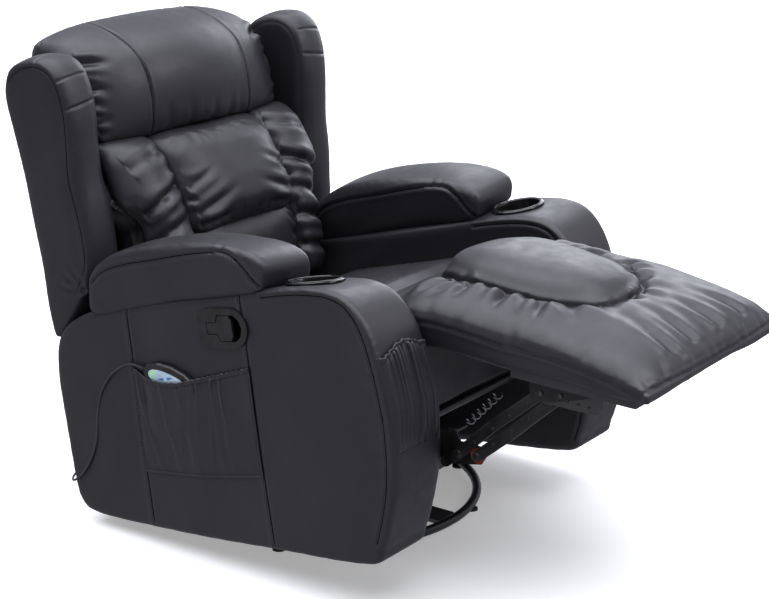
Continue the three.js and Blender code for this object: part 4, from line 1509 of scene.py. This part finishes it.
def build_front_pockets():
    """A gathered patch that wraps the front of each arm."""
    for name, side in SIDES:
        columns, count = 170, 56
        draw = random.Random(211 + side)
        spreads = ((0.03, 0.97), (0.014, 0.026), (0.5, 1.0))
        pleats = [[draw.uniform(*spread) for spread in spreads] for _ in range(13)]
        rows = np.zeros((count, columns, 3))
        for r in range(count):
            v = r / (count - 1)
            for c in range(columns):
                u = c / (columns - 1)
                x = 262 + 134 * u
                corner = 15 * (1 - math.sqrt(max(0, 1 - max(0, (abs(u - 0.5) - 0.42) / 0.08) ** 2)))
                z = 246 + (176 - 8 * math.cos(2 * math.pi * u)) * v
                edge = min(1, u / 0.06, (1 - u) / 0.06)
                wave = sum(d * math.exp(-(((u - at) / (w * (1.7 - v))) ** 2)) for at, w, d in pleats)
                bag = math.sin(math.pi * min(1, v)) ** 0.7 * edge
                fullness = 5.8 * wave * edge * (0.12 + 0.88 * v**1.5) + 5 * v**3 * edge
                y = front_face_y(z) - 1.6 + corner - 9 * bag - fullness
                rows[r, c] = (side * x, y, z)
        if side < 0:
            rows = rows[:, ::-1]
        pocket = cloth_patch("front_pocket_%s_cloth" % name, rows)
        finished(pocket, "chassis", "leather", "front_pocket_" + name)
        round(grid_area(rows) / 0.26, 3)
        sewn = [rows[2, 2:-2] + (0, -1.4, 0)]
        stitch_lines("front_pocket_%s_stitches" % name, sewn, "chassis", (0, 1, 0))
        top = rows[-1, ::6].copy()
        top[:, 1] -= 0.6
        hem_tube("front_pocket_%s_hem" % name, top, 3.4, "chassis")


def front_face_y(z):
    outline = np.array(sorted((z, y) for y, z in ARM_OUTLINE[17:]))
    return float(np.interp(z, outline[:, 0], outline[:, 1]))


# ---- Handle, handset and lead ----


def prism(name, outline, x0, x1, bevel, material):
    """A flat [y, z] outline given a thickness across x and a small bevelled edge."""
    ring = np.asarray(outline, float)
    inward = inward_of(ring)
    out = math.copysign(bevel, x1 - x0)
    points = []
    for x, inset in ((x0, 0), (x1 - out, 0), (x1 - out * 0.3, bevel * 0.3), (x1, bevel)):
        points += [(x, y, z) for y, z in ring + inward * inset]
    obj = mesh_object(name, points, capped_faces(4, len(ring)), material)
    sharpen(obj, 40)
    return obj


def oval(centre, long, wide, tilt, power=2.0):
    """A superellipse in the side view."""
    points = []
    for angle in round_turn(64):
        c, s = math.cos(angle), math.sin(angle)
        y = long / 2 * math.copysign(abs(c) ** (2 / power), c)
        z = wide / 2 * math.copysign(abs(s) ** (2 / power), s)
        across, up = math.cos(tilt), math.sin(tilt)
        points.append((centre[0] + y * across - z * up, centre[1] + y * up + z * across))
    return points


HANDSET_CENTRE = (18, 345)
HANDSET_TILT = math.radians(15)
HANDSET_FACE_X = -412.6


def dress_handset():
    """A generic label on the handset: a pale field, a green edge and a blue mark, with no words."""
    y, z = HANDSET_CENTRE
    tilt = HANDSET_TILT
    face = HANDSET_FACE_X - 0.15
    field = oval((y + 4, z + 1), 92, 30, tilt, power=2.3)
    edge = oval((y + 36, z + 11), 16, 16, tilt)
    mark = oval((y + 8, z + 5), 34, 5, tilt - 0.4)
    for name, outline, back, front, bevel, material in (
        ("handset_label", field, face + 0.5, face - 0.25, 0.2, LABEL),
        ("handset_label_edge", edge, face, face - 0.45, 0.15, LABEL_GREEN),
        ("handset_label_mark", mark, face, face - 0.5, 0.15, LABEL_BLUE),
    ):
        finished(prism(name, outline, back, front, bevel, material), "chassis", "button_plastic")


LEAD_ROUTE = [
    (-407, 99.6, 367), (-407, 108, 369), (-407, 122, 368.5), (-407, 140, 362), (-407, 160, 351),
    (-406, 182, 333), (-405, 202, 309), (-404, 215, 284), (-403.5, 224, 258), (-403.5, 229, 234),
    (-403.5, 235, 211), (-403.5, 244, 192), (-403.5, 255, 174), (-403.5, 268, 157), (-404, 283, 141),
    (-405, 300, 127), (-402, 316, 121), (-391, 325, 125), (-368, 327, 134), (-335, 327, 142),
    (-300, 327, 148), (-272, 326, 151), (-250, 323, 153), (-238, 319, 153), (-236, 314.6, 153),
]
LEAD_RADIUS = 2.2


def build_lead():
    path = spline(LEAD_ROUTE, 220)
    points = []
    sides = 16
    up = np.array((0.0, 0.0, 1.0))
    for centre, tangent in zip(path, tangents(path)):
        up = up - up @ tangent * tangent
        up /= np.linalg.norm(up)
        across = np.cross(tangent, up)
        for angle in round_turn(sides):
            points.append(centre + LEAD_RADIUS * (across * math.cos(angle) + up * math.sin(angle)))
    lead = mesh_object("handset_lead_sheath", points, capped_faces(len(path), sides), LEAD)
    finished(lead, "chassis", "rubber", "handset_lead")
    route = to_row(path)
    length = float(run_length(route))
    tuple(route[0])
    [tuple(p) for p in route]


# ---- The panel that closes the frame under the seat ----


def build_front_panel():
    """Leather across the front, under the footrest's rear edge."""
    rows = np.zeros((30, 80, 3))
    for r, v in enumerate(np.linspace(0, 1, 30)):
        for c, u in enumerate(np.linspace(0, 1, 80)):
            z = 247 + 158 * v
            y = -352.5 - 1.2 * math.sin(9 * u + 3 * v) - 0.8 * math.sin(23 * u)
            # The lower corners are cut away, so the folding links can pass.
            half = 211 + 35 * float(smooth_step((z - 280) / 12))
            rows[r, c] = (half * (2 * u - 1), y, z)
    front = cloth_patch("front_panel", rows, 1.4)
    finished(front, "chassis", "leather")


# ---- Rivets and bolts on the linkage ----

PIVOT_TUBE = (-308.3, 337.9)
PIVOT_UPPER = (-465.5, 200.8)
PIVOT_LOWER = (-503.4, 199.6)


def rivet(name, x, y, z, radius, height, side, body):
    """A domed rivet head standing out sideways."""
    angles = np.linspace(0, math.pi / 2 * 0.98, 6)
    profile = [(radius * math.cos(a) / 1000 + 1e-5, height * math.sin(a) / 1000) for a in angles]
    head = lathe(name, profile, 20, STEEL)
    place = Matrix.Translation(tuple(to_row((x, y, z))))
    head.matrix_world = place @ Matrix.Rotation(side * math.pi / 2, 4, "Y")
    return finished(head, body, "black_steel")


def build_rivets():
    for name, side in SIDES:
        spots = (
            ("tube", 213.5, *PIVOT_TUBE, 8, 4, "rear_links"),
            ("upper", 219.6, *PIVOT_UPPER, 7, 3.5, "upper_links"),
            ("lower", 219.6, *PIVOT_LOWER, 7, 3.5, "lower_links"),
        )
        for label, x, y, z, radius, height, body in spots:
            rivet("rivet_%s_%s" % (label, name), side * x, y, z, radius, height, side, body)
        for index, t in enumerate((0.2, 0.42, 0.62, 0.82)):
            for label, start, end in (
                ("upper_links", PIVOT_UPPER, (-649, 328)),
                ("lower_links", PIVOT_LOWER, (-686.9, 326.8)),
            ):
                y, z = (a + (b - a) * t for a, b in zip(start, end))
                rivet("%s_rivet_%d_%s" % (label, index, name), side * 219.4, y, z, 3.4, 1.6, side, label)
        for index in range(6):
            y = -640 - 20 * index
            z = 327 - 3.0 * index
            rivet("bracket_bolt_%d_%s" % (index, name), side * 223.9, y, z, 3.2, 1.6, side, "ottoman")


# ---- Floor and light ----


FLOOR_HALF = 14
HORIZON = (-0.12, 0.05)


def build_stage():
    mesh = bpy.data.meshes.new("floor")
    corners = [(x * FLOOR_HALF, y * FLOOR_HALF, 0) for x, y in ((-1, -1), (1, -1), (1, 1), (-1, 1))]
    mesh.from_pydata(corners, [], [(0, 1, 2, 3)])
    n = Nodes("pale_floor")
    tone = n.ramp(n.noise(0.6, 2), grey(0.87), grey(0.9), (0.3, 0.7))
    n.set(Base_Color=tone, Roughness=0.95, Emission_Color=grey(1.0), Emission_Strength=0.3)
    floor = new_object("floor", mesh, n.material)
    floor.location.z = -0.0006
    floor.visible_glossy = False
    floor.visible_diffuse = False
    build_world()
    sky = bpy.data.lights.new("soft_overhead", "SUN")
    sky.energy = 4.2
    sky.angle = math.radians(85)
    sky.color = (0.91, 0.925, 1.0)
    place_light(sky, (-0.3, 0.35, 4))
    panels = (
        ("front_panel_light", (1.2, -2.6, 3.0), 2.2, 38, (0.97, 0.97, 1.0), True),
        ("right_panel_light", (3.4, 0.9, 1.9), 2.2, 38, (0.90, 0.92, 1.0), True),
        ("floor_bounce_light", (-1.7, 0.1, 0.1), 1.2, 14, (1.0, 0.99, 0.98), False),
    )
    for name, place, size, power, colour, glossy in panels:
        data = bpy.data.lights.new(name, "AREA")
        data.size = size
        data.energy = power
        data.color = colour
        place_light(data, place).visible_glossy = glossy


def place_light(data, place):
    lamp = bpy.data.objects.new(data.name, data)
    bpy.context.collection.objects.link(lamp)
    lamp.location = place
    lamp.rotation_mode = "QUATERNION"
    lamp.rotation_quaternion = (Vector(place) - Vector((0, 0, 0.5))).to_track_quat("Z", "Y")
    return lamp


def build_world():
    """A studio whose right wall is bright and whose left side is dim; the backdrop is white."""
    world = bpy.data.worlds.new("studio")
    n = Nodes("studio", world, "Background")
    split = n.node("ShaderNodeSeparateXYZ")
    n.link(n.coords.node.outputs["Generated"], split.inputs[0])
    across, up = split.outputs["X"], split.outputs["Z"]
    wall = n.span(across, 0.08, 0.7, -0.35, 0.55)
    ground = n.span(up, 0.36, 0.0, *HORIZON)
    for faded in (wall, ground):
        faded.node.interpolation_type = "SMOOTHSTEP"
    walls = n.combine("MULTIPLY", wall, n.span(up, 0, 1, *HORIZON))
    n.set(Color=(0.88, 0.89, 1.0, 1), Strength=n.combine("ADD", walls, ground))
    white = n.node("ShaderNodeBackground", Color=(1, 1, 1, 1), Strength=1.1)
    mixer = n.node("ShaderNodeMixShader")
    n.link(n.node("ShaderNodeLightPath").outputs["Is Camera Ray"], mixer.inputs["Fac"])
    n.link(n.shader.outputs[0], mixer.inputs[1])
    n.link(white.outputs[0], mixer.inputs[2])
    n.link(mixer.outputs[0], n.tree.nodes["World Output"].inputs["Surface"])
    bpy.context.scene.world = world
    bpy.context.scene.view_settings.view_transform = "Standard"


paint_cad_nodes()
build_lead()
build_base()
back = build_back()
wings = build_wings()
seat = build_seat()
chaise = build_chaise()
arms = build_arms()
inflate()
shape_back(*back)
shape_wings(wings)
shape_seat(seat)
shape_chaise(chaise)
shape_arms(arms)
build_side_pocket()
build_front_pockets()
dress_handset()
build_front_panel()
build_rear_cover()
build_rivets()
build_stage()
